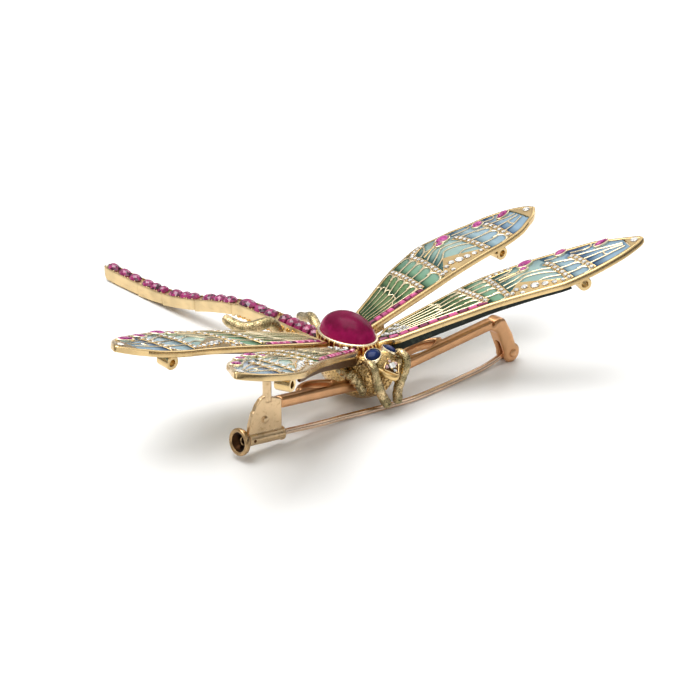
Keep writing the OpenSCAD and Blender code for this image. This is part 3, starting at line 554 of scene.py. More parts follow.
def sapphire_finish(name):
    """A dark blue sapphire dome with painted light and shade: lighter in its middle, darker towards its girdle,
    clouded.
    """
    f = Finish(name)
    rim = f.attribute("rim")
    cloud = f.noise(900, 3)
    return f.surface(
        # Painted light and shade: the lighter blue fills the dome's middle, the near-black its girdle
        Base_Color=f.mix((rim * 0.8 + cloud * 0.5 - 0.3).clamped(), (0.005, 0.024, 0.13), (0.001, 0.002, 0.01)),
        Metallic=0.0,
        Roughness=0.04,
        IOR=1.45,
        Specular_IOR_Level=0.2,
    )


def shadow_silver(name):
    """Painted shade: near-black metal with a green cast in random patches, which are also duller."""
    f = Finish(name)
    wear = f.noise(900, 4, 0.6)
    return f.surface(
        Base_Color=f.mix(wear.smooth(0.5, 0.8), (0.008, 0.012, 0.009), (0.07, 0.085, 0.06)),
        Metallic=0.4,
        Roughness=0.3 + wear * 0.3,
        Specular_IOR_Level=0.3,
    )


FINISHES = {}


def finish(name):
    """Each finish is made once, from the colours set in the panel."""
    if name in FINISHES:
        return FINISHES[name]
    s = bpy.context.scene.brooch_gold
    yellow, pale, rose = tuple(s.yellow), tuple(s.pale), tuple(s.rose)
    # Polished golds: colour, roughness and wear
    golds = {
        "wing gold": ((pale[0] * 0.92, pale[1] * 0.88, pale[2] * 0.8), 0.17, 0.3),
        # Lighter than the wing gold: a painted highlight on the wires, the bezel's edge and the eye rims
        "wire gold": ((0.93, 0.80, 0.55), 0.2, 0.1),
        "yellow gold": (yellow, 0.15, 0.5),
        "rose gold": ((rose[0] * 0.97, rose[1] * 0.86, rose[2] * 0.72), 0.24, 0.15),
        "pin gold": ((0.9, 0.67, 0.5), 0.16, 0.25),
        "tail gold": (shade(pale, 0.95), 0.3, 0.3),
        "gallery gold": ((0.84, 0.5, 0.14), 0.2, 0.3),
        "lip gold": ((0.72, 0.5, 0.22), 0.22, 0.4),
        "catch gold": ((0.74, 0.54, 0.32), 0.22, 0.7),
        "cup gold": ((0.5, 0.33, 0.17), 0.2, 0.8),
        # Near-black brown: painted shade for the left ribs, the face's floor and the hole in the catch tube
        "old gold": ((0.11, 0.05, 0.02), 0.3, 1.0),
        # Near-black: painted shade inside the catch's flare
        "hollow": ((0.04, 0.018, 0.008), 0.3, 0.5),
        # Dark red: painted shade and a painted reflection of the ruby on the bezel's wall
        "ruby shade": ((0.22, 0.03, 0.02), 0.3, 0.6),
    }
    # Faceted stones: darkest and lightest colour, roughness, refraction and glow
    gems = {
        "calibre ruby": ((0.05, 0.001, 0.015), (0.62, 0.1, 0.28), 0.06, 1.55, 0.05),
        "pink stone": ((0.09, 0.003, 0.05), (0.55, 0.06, 0.32), 0.08, 1.5, 0.06),
        "pale pink stone": ((0.25, 0.06, 0.06), (0.9, 0.7, 0.68), 0.05, 1.7, 0.03),
        "tail stone": ((0.018, 0.0005, 0.007), (0.42, 0.02, 0.17), 0.05, 1.7, 0.0),
        "tail ruby": ((0.02, 0.0005, 0.006), (0.4, 0.012, 0.12), 0.05, 1.7, 0.0),
        "diamond": ((0.06, 0.055, 0.04), (0.93, 0.93, 0.9), 0.03, 1.9, 0.03),
    }
    others = {
        "chased gold": (chased_gold, yellow),
        "head gold": (leg_gold, yellow),
        "leg gold": (leg_gold, shade(pale, 0.9)),
        "wing enamel": (wing_enamel,),
        "ruby": (ruby_finish,),
        "sapphire": (sapphire_finish,),
        "blackened": (shadow_silver,),
    }
    if name in golds:
        FINISHES[name] = polished_gold(name, *golds[name])
    elif name in gems:
        FINISHES[name] = cut_gem(name, *gems[name])
    else:
        make, *values = others[name]
        FINISHES[name] = make(name, *values)
    return FINISHES[name]


# ---------------------------------------------------------------- wings

# Radius of the wings' camber, their thickness, the widths of their rim, of a diamond band and of the
# calibre strip, and the height of their roots
CAMBER, WING_T, RIM, BAND, CALIBRE, WING_Z = 45.0, 1.15, 0.75, 1.4, 1.0, 11.55

# Size: length and chord. Turn: sweep, rise and pitch in degrees, on the right (1) and the left (-1).
# Loop: share of the length at which the tube loop sits. Rib: its distance from the leading edge.
# Start: the line at which the panes begin. Outline: share of the length, then the leading and the
# trailing edge as shares of the chord. Bands: share of the length at the leading and trailing edge.
FORE = {
    "size": (54.8, 13.8),
    "root": (3, -5, WING_Z),
    "turn": {1: (22.2, 16.8, 0.6), -1: (22.2, 18, 0.6)},
    "loop": {1: 0.73, -1: 0.73},
    "rib": 0.15,
    "start": -0.24,
    "outline": [
        (-0.02, -0.12, 0.09), (0.022, -0.13, 0.12), (0.05, -0.19, 0.235), (0.12, -0.22, 0.31),
        (0.22, -0.26, 0.39), (0.32, -0.31, 0.48),
        (0.395, -0.345, 0.54), (0.465, -0.4, 0.55), (0.575, -0.5, 0.47), (0.66, -0.575, 0.385),
        (0.745, -0.575, 0.275), (0.8, -0.555, 0.21), (0.865, -0.515, 0.115), (0.91, -0.475, -0.01),
        (0.96, -0.405, -0.15), (0.985, -0.355, -0.225), (1, -0.3, -0.28),
    ],
    "bands": [(0.075, 0.105), (0.4, 0.357), (0.472, 0.461), (0.69, 0.658), (0.78, 0.742), (0.94, 0.94)],
}
HIND = {
    "size": (49.7, 17.4),
    "root": (4, 0, WING_Z),
    "turn": {1: (2, 14.5, -2.4), -1: (2.8, 14.3, -4)},
    "loop": {1: 0.725, -1: 0.795},
    "rib": 1.6,
    "start": -0.16,
    "outline": [
        (0.026, -0.035, 0.12), (0.06, -0.034, 0.34), (0.1, -0.033, 0.41), (0.16, -0.03, 0.49), (0.27, -0.02, 0.655),
        (0.38, -0.01, 0.815), (0.46, 0, 0.9), (0.574, 0, 1), (0.66, -0.01, 0.92),
        (0.725, -0.025, 0.85), (0.78, -0.025, 0.76), (0.85, 0, 0.68), (0.905, 0.06, 0.585),
        (0.945, 0.11, 0.495), (0.98, 0.19, 0.375), (1, 0.25, 0.27),
    ],
    "bands": [(0.08, 0.12), (0.328, 0.368), (0.438, 0.498), (0.674, 0.68), (0.788, 0.816), (0.93, 0.93)],
}
WINGS = {"fore": FORE, "hind": HIND}

# Wires of a wing. First number: the line it is at, from 0 at the root over the diamond bands 1 to 4 to
# 5 near the tip. Second number: the share of the way across, from the leading edge.
WIRES = [
    [(0, 0), (1, 0)],
    [(-0.15, 0.14), (0.2, 0.13), (0.45, 0.15), (0.75, 0.17), (0.97, 0.2)],
    [(-0.15, 0.3), (0.25, 0.27), (0.47, 0.27), (0.62, 0.33), (0.8, 0.39), (0.97, 0.41)],
    [(-0.15, 0.48), (0.25, 0.46), (0.5, 0.47), (0.6, 0.53), (0.8, 0.6), (0.97, 0.62)],
    [(-0.15, 0.64), (0.25, 0.64), (0.5, 0.66), (0.62, 0.72), (0.8, 0.79), (0.97, 0.81)],
    [(-0.15, 0.82), (0.25, 0.82), (0.5, 0.84), (0.56, 0.88)],
    [(0.3, 0.0), (0.42, 0.06), (0.45, 0.15)],
    [(0.45, 0.15), (0.54, 0.2), (0.55, 0.3)],
    [(0.47, 0.27), (0.57, 0.34), (0.53, 0.43), (0.5, 0.47)],
    [(0.5, 0.47), (0.6, 0.56), (0.57, 0.64), (0.5, 0.66)],
    [(0.5, 0.66), (0.6, 0.74), (0.58, 0.82), (0.5, 0.84)],
    [(0.5, 0.84), (0.56, 0.92), (0.5, 1.0)],
    [(1.1, 0.24), (1.5, 0.23), (1.92, 0.26)],
    [(1.1, 0.44), (1.5, 0.44), (1.92, 0.46)],
    [(1.1, 0.62), (1.5, 0.63), (1.92, 0.64)],
    [(1.1, 0.8), (1.5, 0.81), (1.92, 0.82)],
    [(2.08, 0.28), (2.3, 0.36), (2.5, 0.47), (2.75, 0.45), (2.95, 0.36)],
    [(2.08, 0.4), (2.3, 0.48), (2.55, 0.58), (2.8, 0.57), (2.95, 0.52)],
    [(2.08, 0.55), (2.3, 0.62), (2.6, 0.68)],
    [(2.08, 0.72), (2.25, 0.76), (2.42, 0.86), (2.46, 0.97)],
    [(2.25, 0.76), (2.45, 0.72), (2.6, 0.68)],
    [(2.52, 0.2), (2.72, 0.27), (2.95, 0.22)],
    [(3.08, 0.2), (3.5, 0.19), (3.92, 0.22)],
    [(3.08, 0.42), (3.5, 0.41), (3.92, 0.42)],
    [(3.05, 0.66), (3.5, 0.63), (3.88, 0.6)],
    [(3.05, 0.84), (3.35, 0.82), (3.6, 0.86), (3.66, 0.97)],
    [(4.08, 0.22), (4.5, 0.24), (4.9, 0.3)],
    [(4.08, 0.44), (4.5, 0.44), (4.9, 0.46)],
    [(4.05, 0.66), (4.4, 0.62), (4.7, 0.58), (4.92, 0.6)],
    [(4.05, 0.84), (4.3, 0.8), (4.44, 0.86), (4.48, 0.97)],
    [(4.5, 0.24), (4.46, 0.34), (4.5, 0.44)],
]
# Rounded outer ends of the panes: line, start and end across the wing
ARCHES = [
    (0.95, 0.0, 0.2), (0.95, 0.2, 0.41), (0.95, 0.41, 0.62), (0.95, 0.62, 0.81), (0.95, 0.81, 1.0),
    (1.91, 0.0, 0.26), (1.91, 0.26, 0.46), (1.91, 0.46, 0.64), (1.91, 0.64, 0.82), (1.91, 0.82, 1.0),
    (3.91, 0.0, 0.22), (3.91, 0.22, 0.42), (3.88, 0.42, 0.6),
]
# Diamond bands: their points and how many stones they carry
BANDS = [
    ([(1, 0.02), (1, 0.98)], {"fore": 8, "hind": 9}),
    ([(2, 0.02), (2, 0.92)], {"fore": 8, "hind": 10}),
    ([(2.02, 0.9), (2.25, 0.94), (2.5, 0.965)], {"fore": 4, "hind": 4}),
    ([(3, 0.02), (3, 0.6), (2.95, 0.72)], {"fore": 7, "hind": 8}),
    ([(4, 0.02), (4, 0.6), (3.93, 0.72)], {"fore": 6, "hind": 6}),
]
# Pink stones: place, half length and half width in mm, turn in degrees
PINKS = {
    "fore": [
        (2.72, 0.93, 1.5, 0.95, 14), (2.6, 0.74, 0.75, 0.55, 10), (3.86, 0.95, 1.2, 0.75, 14),
        (4.62, 0.84, 1.5, 0.55, 8),
    ],
    "hind": [
        (2.82, 0.83, 1.55, 1.3, 20), (2.62, 0.7, 0.8, 0.6, 10), (3.82, 0.82, 1.25, 0.95, 25),
        (4.66, 0.78, 1.6, 0.62, 12),
    ],
}
# Diamonds of the triangle past the second band: how far past it, share across and relative size
TRIANGLE = [
    (0.08, 0.07, 0.85), (0.18, 0.15, 1.0), (0.32, 0.17, 1.25), (0.47, 0.13, 1.6), (0.62, 0.1, 1.25),
    (0.76, 0.08, 1.0), (0.89, 0.06, 0.8), (0.22, 0.02, 0.9),
]
# Diamonds of the paved triangle at a fore wing's root: line, then the shares across
ROOT_PAVE = [
    (-0.2, 0.4), (-0.16, 0.4), (-0.12, 0.2, 0.7), (-0.08, 0.15, 0.6), (-0.04, 0.12, 0.45, 0.8),
    (0.0, 0.1, 0.38, 0.66), (0.04, 0.1, 0.34), (0.08, 0.09, 0.3), (0.12, 0.08),
]
# Rings of a round diamond and of a pink stone, as shares of its size and heights in mm
DIAMOND = [(0.7, 0.7, -0.18), (1.0, 1.0, 0.0), (1.0, 1.0, 0.06), (0.6, 0.6, 0.24)]
PINK = [(0.8, 0.8, -0.2), (1.0, 1.0, 0.02), (1.0, 1.0, 0.12), (0.82, 0.82, 0.3), (0.5, 0.5, 0.4)]


def curve(x, table, column):
    """A column of a table as a smooth function: cubic pieces whose slopes at each row come from the
    neighbouring rows."""
    t = np.array(table, float)
    x = np.asarray(x, float)
    i = np.clip(np.searchsorted(t[:, 0], x, side="right") - 1, 0, len(t) - 2)
    low, high = np.maximum(np.arange(len(t)) - 1, 0), np.minimum(np.arange(len(t)) + 1, len(t) - 1)
    slope = (t[high, column] - t[low, column]) / (t[high, 0] - t[low, 0])
    h = t[i + 1, 0] - t[i, 0]
    q = (x - t[i, 0]) / h
    return (
        (2 * q**3 - 3 * q**2 + 1) * t[i, column]
        + (q**3 - 2 * q**2 + q) * slope[i] * h
        + (3 * q**2 - 2 * q**3) * t[i + 1, column]
        + (q**3 - q**2) * slope[i + 1] * h
    )


class Wing:
    """One wing's own plane: u along the span, v across it, and where that plane lies on the brooch."""

    def __init__(self, kind, side):
        self.kind, self.side = kind, side
        self.w = WINGS[kind]
        self.length, self.chord = self.w["size"]
        across, rise, pitch = self.w["turn"][side]
        self.turn = turned(-pitch, -rise, -across)

    def lead(self, u):
        return self.chord * curve(u / self.length, self.w["outline"], 1)

    def trail(self, u):
        return self.chord * curve(u / self.length, self.w["outline"], 2)

    def spot(self, b, q):
        """Plan point at line b and share q across: the line's place is blended between the two bands
        beside it, and q runs between the leading edge's inner side and the trailing rim."""
        b, q = np.asarray(b, float), np.asarray(q, float)
        lines = np.array(self.w["bands"])
        i = np.clip(b.astype(int), 0, 4)
        f = b - i

        def at(k):
            return (lines[k, 0] + (lines[k, 1] - lines[k, 0]) * q) * self.length

        u = at(i) * (1 - f) + at(i + 1) * f
        # The calibre strip narrows the panes up to the first band
        strip = (CALIBRE + 0.45) * np.clip((1.02 - b) / 0.04, 0, 1)
        low, high = self.lead(u) + RIM - 0.15 + strip, self.trail(u) - RIM + 0.15
        return np.stack([u, low + (high - low) * q], -1)

    def line(self, points, count):
        """Plan path through places given as line and share across."""
        return self.spot(*smooth_path(points, count).T)

    def arch(self, b, q0, q1):
        """Plan path of a pane's rounded outer end: a half oval across the pane."""
        g = np.linspace(0, np.pi, 22)
        depth = 0.14 if b < 1 else 0.34
        q = np.clip((q0 + q1) / 2 - (q1 - q0) / 2 * np.cos(g), 0, 1)
        return self.spot(b - depth + depth * np.sin(g) ** 0.7, q)

    def bend(self, flat):
        """Bends flat points (u, v, depth) over the camber and puts them on the brooch."""
        p = np.array(flat, float)
        p[..., 2] += np.sqrt(CAMBER**2 - p[..., 1] ** 2) - CAMBER
        p = p @ self.turn.T + np.array(self.w["root"])
        if self.side < 0:
            p[..., 0] *= -1
        return p

    def axes(self, uv):
        """Directions along, across and out of the wing at a plan point, as columns."""
        s = uv[1] / CAMBER
        c = math.sqrt(1 - s * s)
        local = np.array([[1, 0, 0], [0, c, -s], [0, s, c]]).T
        m = self.turn @ local
        if self.side < 0:
            m[0] *= -1
        return m

    def name(self):
        return f"{self.kind}_{'right' if self.side > 0 else 'left'}"


def lift(plan, depth):
    """Plan points with a depth as third number, one for all or one for each."""
    return np.concatenate([plan, np.broadcast_to(depth, plan.shape[:-1])[..., None]], -1)


def wire_section(top, bottom, half, crown=0.12):
    """A wire's section as (side, up) in mm: upright sides and a rounded top."""
    low, shoulder = top - crown, top - crown * 0.25
    return np.array([
        (-half, bottom), (-half, low), (-half * 0.62, shoulder), (0, top),
        (half * 0.62, shoulder), (half, low), (half, bottom), (0, bottom),
    ])


# Sections of the rim, of a diamond band and of a stone's seat, as (side, up) in mm
RIM_SECTION = np.array([
    (0.0, -WING_T + 0.12), (0.0, -0.16), (0.1, -0.03), (0.25, 0.05), (RIM - 0.16, 0.05), (RIM - 0.05, 0.0),
    (RIM, -0.1), (RIM, -WING_T + 0.12), (RIM - 0.12, -WING_T), (0.12, -WING_T),
])
BAND_SECTION = np.array([
    (-BAND / 2, -0.62), (-BAND / 2, 0.0), (-BAND / 2 + 0.1, 0.07), (-BAND / 2 + 0.25, 0.02),
    (BAND / 2 - 0.25, 0.02), (BAND / 2 - 0.1, 0.07), (BAND / 2, 0.0), (BAND / 2, -0.62),
])
SEAT_SECTION = np.array([(-0.17, -0.55), (-0.17, 0.2), (-0.08, 0.28), (0.08, 0.28), (0.17, 0.2), (0.17, -0.55)])


def flat_strip(shape, wing, path, section, closed=False):
    """Carries a section of (side, height) in mm along a plan path and bends it with the wing. The section
    is one for the whole path or one for each of its points."""
    n = len(path)
    if closed:
        t = unit(np.roll(path, -1, 0) - np.roll(path, 1, 0))
    else:
        t = unit(np.gradient(path, axis=0))
    side = np.stack([-t[:, 1], t[:, 0]], -1)
    section = np.broadcast_to(section, (n, *np.shape(section)[-2:]))
    flat = np.concatenate([path[:, None] + side[:, None] * section[..., :1], section[..., 1:]], -1)
    rings = wing.bend(flat)
    if closed:
        shape.add(rings, grid_quads(n, section.shape[1], True, True))
    else:
        shape.add(*capped(rings, rings[[0, -1]].mean(1)))


def plate(shape, wing, plan, top, bottom, points=None):
    """A slab of metal or enamel over a grid of plan points, from one depth to another."""
    shape.add(*slab(wing.bend(lift(plan, top)), wing.bend(lift(plan, bottom))), None, points)


def wing_outline(wing):
    """The plan outline: leading edge, tip, trailing edge and root, closer together near the tip, then
    spaced evenly."""
    start = wing.w["outline"][0][0]
    u = wing.length * (1 - (1 - start) * (1 - np.linspace(0, 1, 170)) ** 1.6)
    u[-1] = wing.length * 0.9999
    lead, trail = np.stack([u, wing.lead(u)], -1), np.stack([u, wing.trail(u)], -1)[::-1]
    root = np.stack([np.full(6, u[0]), np.linspace(trail[-1, 1], lead[0, 1], 6)], -1)[1:-1]
    tip = [[wing.length, (lead[-1, 1] + trail[0, 1]) / 2]]
    return rounded(evenly(np.concatenate([lead, tip, trail, root, lead[:1]]), 521)[:-1], 2)


def wing_plates(shape, wing):
    """The plates between the wires: each is a grid of plan points from the leading side to the trailing
    side."""
    # The triangle on the leading edge: it runs from the rim to two slopes that meet in a peak
    x = np.linspace(0.01, 0.99, 41)
    peak = 0.05 + 0.3 * np.minimum(x / 0.3, (1 - x) / 0.7)
    q = np.linspace(-0.04, 1, 9)[:, None] * peak[None]
    dish = 0.02 + 0.05 * np.linspace(0, 1, 9)[:, None] ** 6
    plate(shape, wing, wing.spot(2 + np.broadcast_to(x, q.shape), q), dish, -0.6)
    # The tip
    x = np.linspace(wing.w["bands"][5][0], 0.992, 16) * wing.length
    f = np.linspace(0.04, 0.96, 9)[:, None]
    v = wing.lead(x)[None] * (1 - f) + wing.trail(x)[None] * f
    plate(shape, wing, np.stack([np.broadcast_to(x, v.shape), v], -1), 0.02, -0.7)
    # The root
    f = np.linspace(0.0, 1.0, 10)[None, :]
    q = np.linspace(0.0, 1.0, 12)[:, None]
    start = wing.w["outline"][0][0] * wing.length + 0.3
    near, far = wing.w["bands"][0]
    x = start + ((near + (far - near) * q) * wing.length + 0.1 - start) * f
    v = (wing.lead(x) + 0.3) * (1 - q) + (wing.trail(x) - 0.3) * q
    plate(shape, wing, np.stack([x, v], -1), -0.3, -0.8)
    # The floor that the calibre stones lie on
    inner = wing.spot(np.linspace(wing.w["start"], 1.0, 30), np.zeros(30))
    outer = np.stack([inner[:, 0], wing.lead(inner[:, 0]) + RIM - 0.2], -1)
    plate(shape, wing, np.stack([inner, outer]), -0.35, -0.62)


def wing_gold(wing):
    """A wing's rim with its bands, its plates and its tube loop."""
    shape = Shape()
    flat_strip(shape, wing, wing_outline(wing), RIM_SECTION, True)
    for points, _ in BANDS:
        flat_strip(shape, wing, wing.line(points, 30), BAND_SECTION)
    wing_plates(shape, wing)
    # The gold leaf that runs from the second band up to the large pink stone
    leaf = wing.line([(2.12, 0.66), (2.35, 0.7), (2.55, 0.76), (2.68, 0.86)], 24)
    flat_strip(shape, wing, leaf, wire_section(0.05, -0.5, 0.26))
    # The tube loop: radius, bore and how far its axis lies below the wing
    r, bore, deep = 1.35, 0.65, WING_T + 1.35 - 0.25
    u = wing.w["loop"][wing.side] * wing.length
    local = ((0, 0, -deep), (0, 1, 0), (1, 0, 0))
    down, along, across = (wing.turn @ np.array(v) * (wing.side, 1, 1) for v in local)
    centre = wing.bend((u, float(wing.lead(u)) + 1.7, 0)) + down
    tube = [
        (bore, -1.4), (bore, 1.4), (bore + 0.1, 1.5), (r - 0.12, 1.5), (r, 1.38), (r, -1.38), (r - 0.12, -1.5),
        (bore + 0.1, -1.5),
    ]
    shape.add(*lathe(tube, centre, along, across, 36))
    return shape


def wing_wires(wing):
    """The wires between the panes, the panes' rounded ends and the seats of the pink stones."""
    shape = Shape()
    wire = wire_section(0.06, -0.62, 0.18)
    for points in WIRES:
        way = smooth_path(points, 40)
        # A wire is a third as wide at the root as in the middle of the wing
        fine = np.clip(0.36 + 0.6 * way[:, 0] / 1.1, 0.3, 1)[:, None]
        section = np.stack([wire[:, 0] * fine, np.broadcast_to(wire[:, 1], (40, len(wire)))], -1)
        flat_strip(shape, wing, wing.spot(*way.T), section)
    for arch in ARCHES:
        flat_strip(shape, wing, wing.arch(*arch), wire_section(0.07, -0.62, 0.21))
    for b, q, half_long, half_wide, turn in PINKS[wing.kind]:
        ring = circle(28) * (half_long + 0.16, half_wide + 0.16) @ turned(z=turn)[:2, :2].T + wing.spot(b, q)
        flat_strip(shape, wing, ring, SEAT_SECTION, True)
    return shape


def wing_rib(wing):
    """The rib below the leading edge, deepest near the body."""
    shape = Shape()
    x = np.linspace(0.02, wing.w["loop"][wing.side] - 0.05, 60)
    deep = (-WING_T - 1.5 + 0.85 * np.clip((x - 0.08) / 0.5, 0, 1))[:, None]
    across, up = np.array([-0.3, 0.3, 0.3, 0.15, -0.15, -0.3]), np.array([0, 0, 0.15, 0, 0, 0.15])
    level = np.where(np.arange(6) < 2, -0.5, deep + up)
    section = np.stack([np.broadcast_to(across, level.shape), level], -1)
    x = x * wing.length
    flat_strip(shape, wing, np.stack([x, wing.lead(x) + wing.w["rib"] + 0.3], -1), section)
    return shape


def wire_distance(wing, plan):
    """Distance from each plan point to the nearest wire, band or rim: the least of its distances to the
    points of their paths, less half their width, and of those to the two rims."""
    marks = np.concatenate([wing.line(points, 40) for points in WIRES] + [wing.arch(*arch) for arch in ARCHES])
    best = np.full(len(plan), 9.0)
    for part in np.array_split(marks, 12):
        d = np.linalg.norm(plan[:, None] - part[None], axis=-1).min(1) - 0.17
        best = np.minimum(best, d)
    for points, _ in BANDS:
        line = wing.line(points, 30)
        best = np.minimum(best, np.linalg.norm(plan[:, None] - line[None], axis=-1).min(1) - BAND / 2)
    u, v = plan[:, 0], plan[:, 1]
    best = np.minimum(best, np.minimum(v - wing.lead(u) - RIM, wing.trail(u) - RIM - v))
    return np.clip(best, 0, 3)


def wing_panes(wing):
    """The enamel: one sheet between the rims, a little lower than the wires, sinking away from them."""
    shape = Shape()
    rows, cols = 84, 250
    b = np.linspace(wing.w["start"], 4.98, cols)[None, :]
    q = np.linspace(-0.03, 1.03, rows)[:, None]
    b, q = np.broadcast_to(b, (rows, cols)), np.broadcast_to(q, (rows, cols))
    plan = wing.spot(b, q)
    edge = wire_distance(wing, plan.reshape(-1, 2)).reshape(rows, cols)
    # Painted shade: each row of panes runs from dark at its inner end to light at its outer end, and the
    #     sheet is darker too towards the trailing edge and near the root, most on the fore wings
    stops = [0, 0.52, 1, 2, 3, 4, 5]
    start = np.array(stops)[np.clip(np.searchsorted(stops, b, side="right") - 1, 0, 5)]
    end = np.array(stops)[np.clip(np.searchsorted(stops, b, side="right"), 1, 6)]
    f = np.clip((b - start) / (end - start), 0, 1)
    phase = np.clip(1 - np.abs(f - 0.12) / 0.3, 0, 1) * 0.6 + 0.35 * np.clip((q - 0.72) / 0.28, 0, 1)
    phase = phase + (0.4 if wing.kind == "fore" else 0.12) * np.clip(1.3 - b, 0, 0.6) / 0.6
    values = {"span": np.maximum(b, 0) / 5, "edge": edge, "phase": phase}
    # The sheet's top and underside carry the same values
    points = {key: np.tile(value.ravel(), 2) for key, value in values.items()}
    plate(shape, wing, plan, -0.1 - 0.14 * np.clip(edge / 0.7, 0, 1) ** 0.8, -0.5, points)
    return shape


def stones_on(shape, wing, places, rng, rings, n=8):
    """Adds cut stones at plan places, each given as (u, v), half length, half width and turn in degrees."""
    for uv, a, b, turn in places:
        size = [(a * x, b * y, z * (0.55 + 0.45 * max(a, b))) for x, y, z in rings]
        gem(shape, wing.bend((*uv, 0.07)), wing.axes(uv) @ turned(z=turn), size, n, rng)


def wing_diamonds(wing, rng):
    """The diamonds of the bands, the triangle, the root and the tip, with the grains of gold that hold
    them."""
    places, stones, beads = [], Shape(), Shape()
    for points, count in BANDS:
        spots = wing.line(points, count[wing.kind] * 2 + 1)[1::2]
        places += [(uv, 0.44, 0.44, rng.uniform(0, 45)) for uv in spots]
        along = unit(spots[1:] - spots[:-1])
        off = np.stack([-along[:, 1], along[:, 0]], -1)
        between = (spots[1:] + spots[:-1]) / 2
        for p in np.concatenate([between - off * 0.42, between + off * 0.42]):
            beads.add(*bead(wing.bend((*p, 0.1)), 0.15))
    for x, q, size in TRIANGLE:
        uv = wing.spot(2 + x, q)
        places.append((uv, 0.54 * size, 0.54 * size, rng.uniform(0, 45)))
        for g in (0.8, 2.3, 3.9, 5.4):
            p = uv + 0.6 * size * np.array([math.cos(g), math.sin(g)])
            beads.add(*bead(wing.bend((*p, 0.1)), 0.13))
    if wing.kind == "fore":
        for b, *shares in ROOT_PAVE:
            places += [(wing.spot(b, q), 0.36, 0.36, rng.uniform(0, 45)) for q in shares]
    tip = 0.965 * wing.length
    places.append((np.array([tip, float(wing.lead(tip) + wing.trail(tip)) / 2]), 0.72, 0.72, 10))
    stones_on(stones, wing, places, rng, DIAMOND)
    return stones, beads


def wing_calibre(wing, rng):
    """Calibre stones along the leading edge: step-cut bars with bevelled edges, light and dark in turn."""
    shape = Shape()
    n = 11 if wing.kind == "fore" else 9
    ends = np.linspace(wing.w["start"] + 0.02, 1.0, n + 1)
    for i in range(n):
        b = np.array([ends[i] + 0.008, ends[i + 1] - 0.008])
        inner = wing.spot(b, np.zeros(2))
        low = wing.lead(inner[:, 0]) + RIM + 0.1
        high = inner[:, 1] - 0.28
        u = inner[:, 0]
        rings = []
        for inset, z in ((0.0, -0.3), (0.0, 0.0), (0.2, 0.18)):
            rings.append([
                (u[0] + inset, low[0] + inset, z), (u[1] - inset, low[1] + inset, z),
                (u[1] - inset, high[1] - inset, z), (u[0] + inset, high[0] - inset, z),
            ])
        verts = wing.bend(np.array(rings)).reshape(-1, 3)
        quads = np.concatenate([grid_quads(3, 4, False, True), [[3, 2, 1, 0], [8, 9, 10, 11]]])
        light = (0.12, 0.8, 0.5, 0.95)[i % 4] + rng.uniform(-0.1, 0.1)
        tone = np.clip(light + np.concatenate([rng.uniform(-0.3, 0.3, 8), [0, 0.1]]), 0, 1)
        shape.add(verts, quads, None, None, tone)
    return shape


# ---------------------------------------------------------------- settings


class BroochGold(bpy.types.PropertyGroup):
    yellow: bpy.props.FloatVectorProperty(
        name="Yellow gold", description="Colour of the body's gold", subtype="COLOR", min=0, max=1,
        default=(0.70, 0.47, 0.20),
    )
    pale: bpy.props.FloatVectorProperty(
        name="Pale gold", description="Colour of the wings' gold", subtype="COLOR", min=0, max=1,
        default=(0.78, 0.59, 0.32),
    )
    rose: bpy.props.FloatVectorProperty(
        name="Rose gold", description="Colour of the brooch fitting's gold", subtype="COLOR", min=0, max=1,
        default=(0.68, 0.42, 0.25),
    )


class BroochStage(bpy.types.PropertyGroup):
    azimuth: bpy.props.FloatProperty(
        name="Azimuth", description="Where the camera stands round the brooch", subtype="ANGLE",
        default=math.radians(-41.27),
    )
    elevation: bpy.props.FloatProperty(
        name="Elevation", description="How far the camera looks down", subtype="ANGLE",
        default=math.radians(23.74),
    )
    distance: bpy.props.FloatProperty(
        name="Distance", description="From the camera to the brooch", unit="LENGTH", default=0.5, min=0.1
    )
    target: bpy.props.FloatVectorProperty(
        name="Target", description="The point in the middle of the picture", subtype="XYZ", unit="LENGTH",
        default=(-0.00082, -0.02539, 0.00948),
    )
    dome: bpy.props.FloatProperty(
        name="Dome", description="Strength of the light from all round", default=0.92, min=0
    )
    key: bpy.props.FloatProperty(
        name="Key", description="Power of the light overhead", unit="POWER", default=6.5, min=0
    )
    lens: bpy.props.FloatProperty(
        name="Lens", description="Focal length in mm on a 36 mm sensor", default=136.3, min=10
    )
    floor: bpy.props.FloatVectorProperty(
        name="Floor", description="Colour of the floor", subtype="COLOR", default=(0.93, 0.93, 0.925), min=0, max=1
    )


# ---------------------------------------------------------------- operators


def rings_dome(a, b, side, rise, centre, turn, rows=26, n=64):
    """A dome on an oval girdle: each ring is the oval times a cosine and its height a sine, above a
    short straight side. The point value "rim" is 0 at the top and 1 at the girdle."""
    g = np.linspace(0, np.pi / 2, rows)[:-1]
    levels = [(0.9, -side), (1.0, -side * 0.8)] + [(math.cos(x), rise * math.sin(x)) for x in g]
    rings = np.array([np.concatenate([circle(n) * (a * k, b * k), np.full((n, 1), z)], 1) for k, z in levels])
    verts, quads, tris = capped(rings, [[0, 0, -side], [0, 0, rise]])
    rim = np.concatenate([np.repeat([k for k, _ in levels], n), [1.0, 0.0]])
    return verts @ turn.T + centre, quads, tris, {"rim": rim}


def oval_ring(shape, a, b, section, place, turn, n=56):
    """A ring round an oval: a section of (outwards, up) in mm at each point of the oval."""
    spin = circle(n)
    out = unit(np.stack([spin[:, 0] / a, spin[:, 1] / b], -1))
    flat = (spin * (a, b))[:, None] + out[:, None] * section[None, :, :1]
    pts = np.concatenate([flat, np.broadcast_to(section[None, :, 1:], (*flat.shape[:2], 1))], -1)
    shape.add(pts @ turn.T + place, grid_quads(n, len(section), True, True))


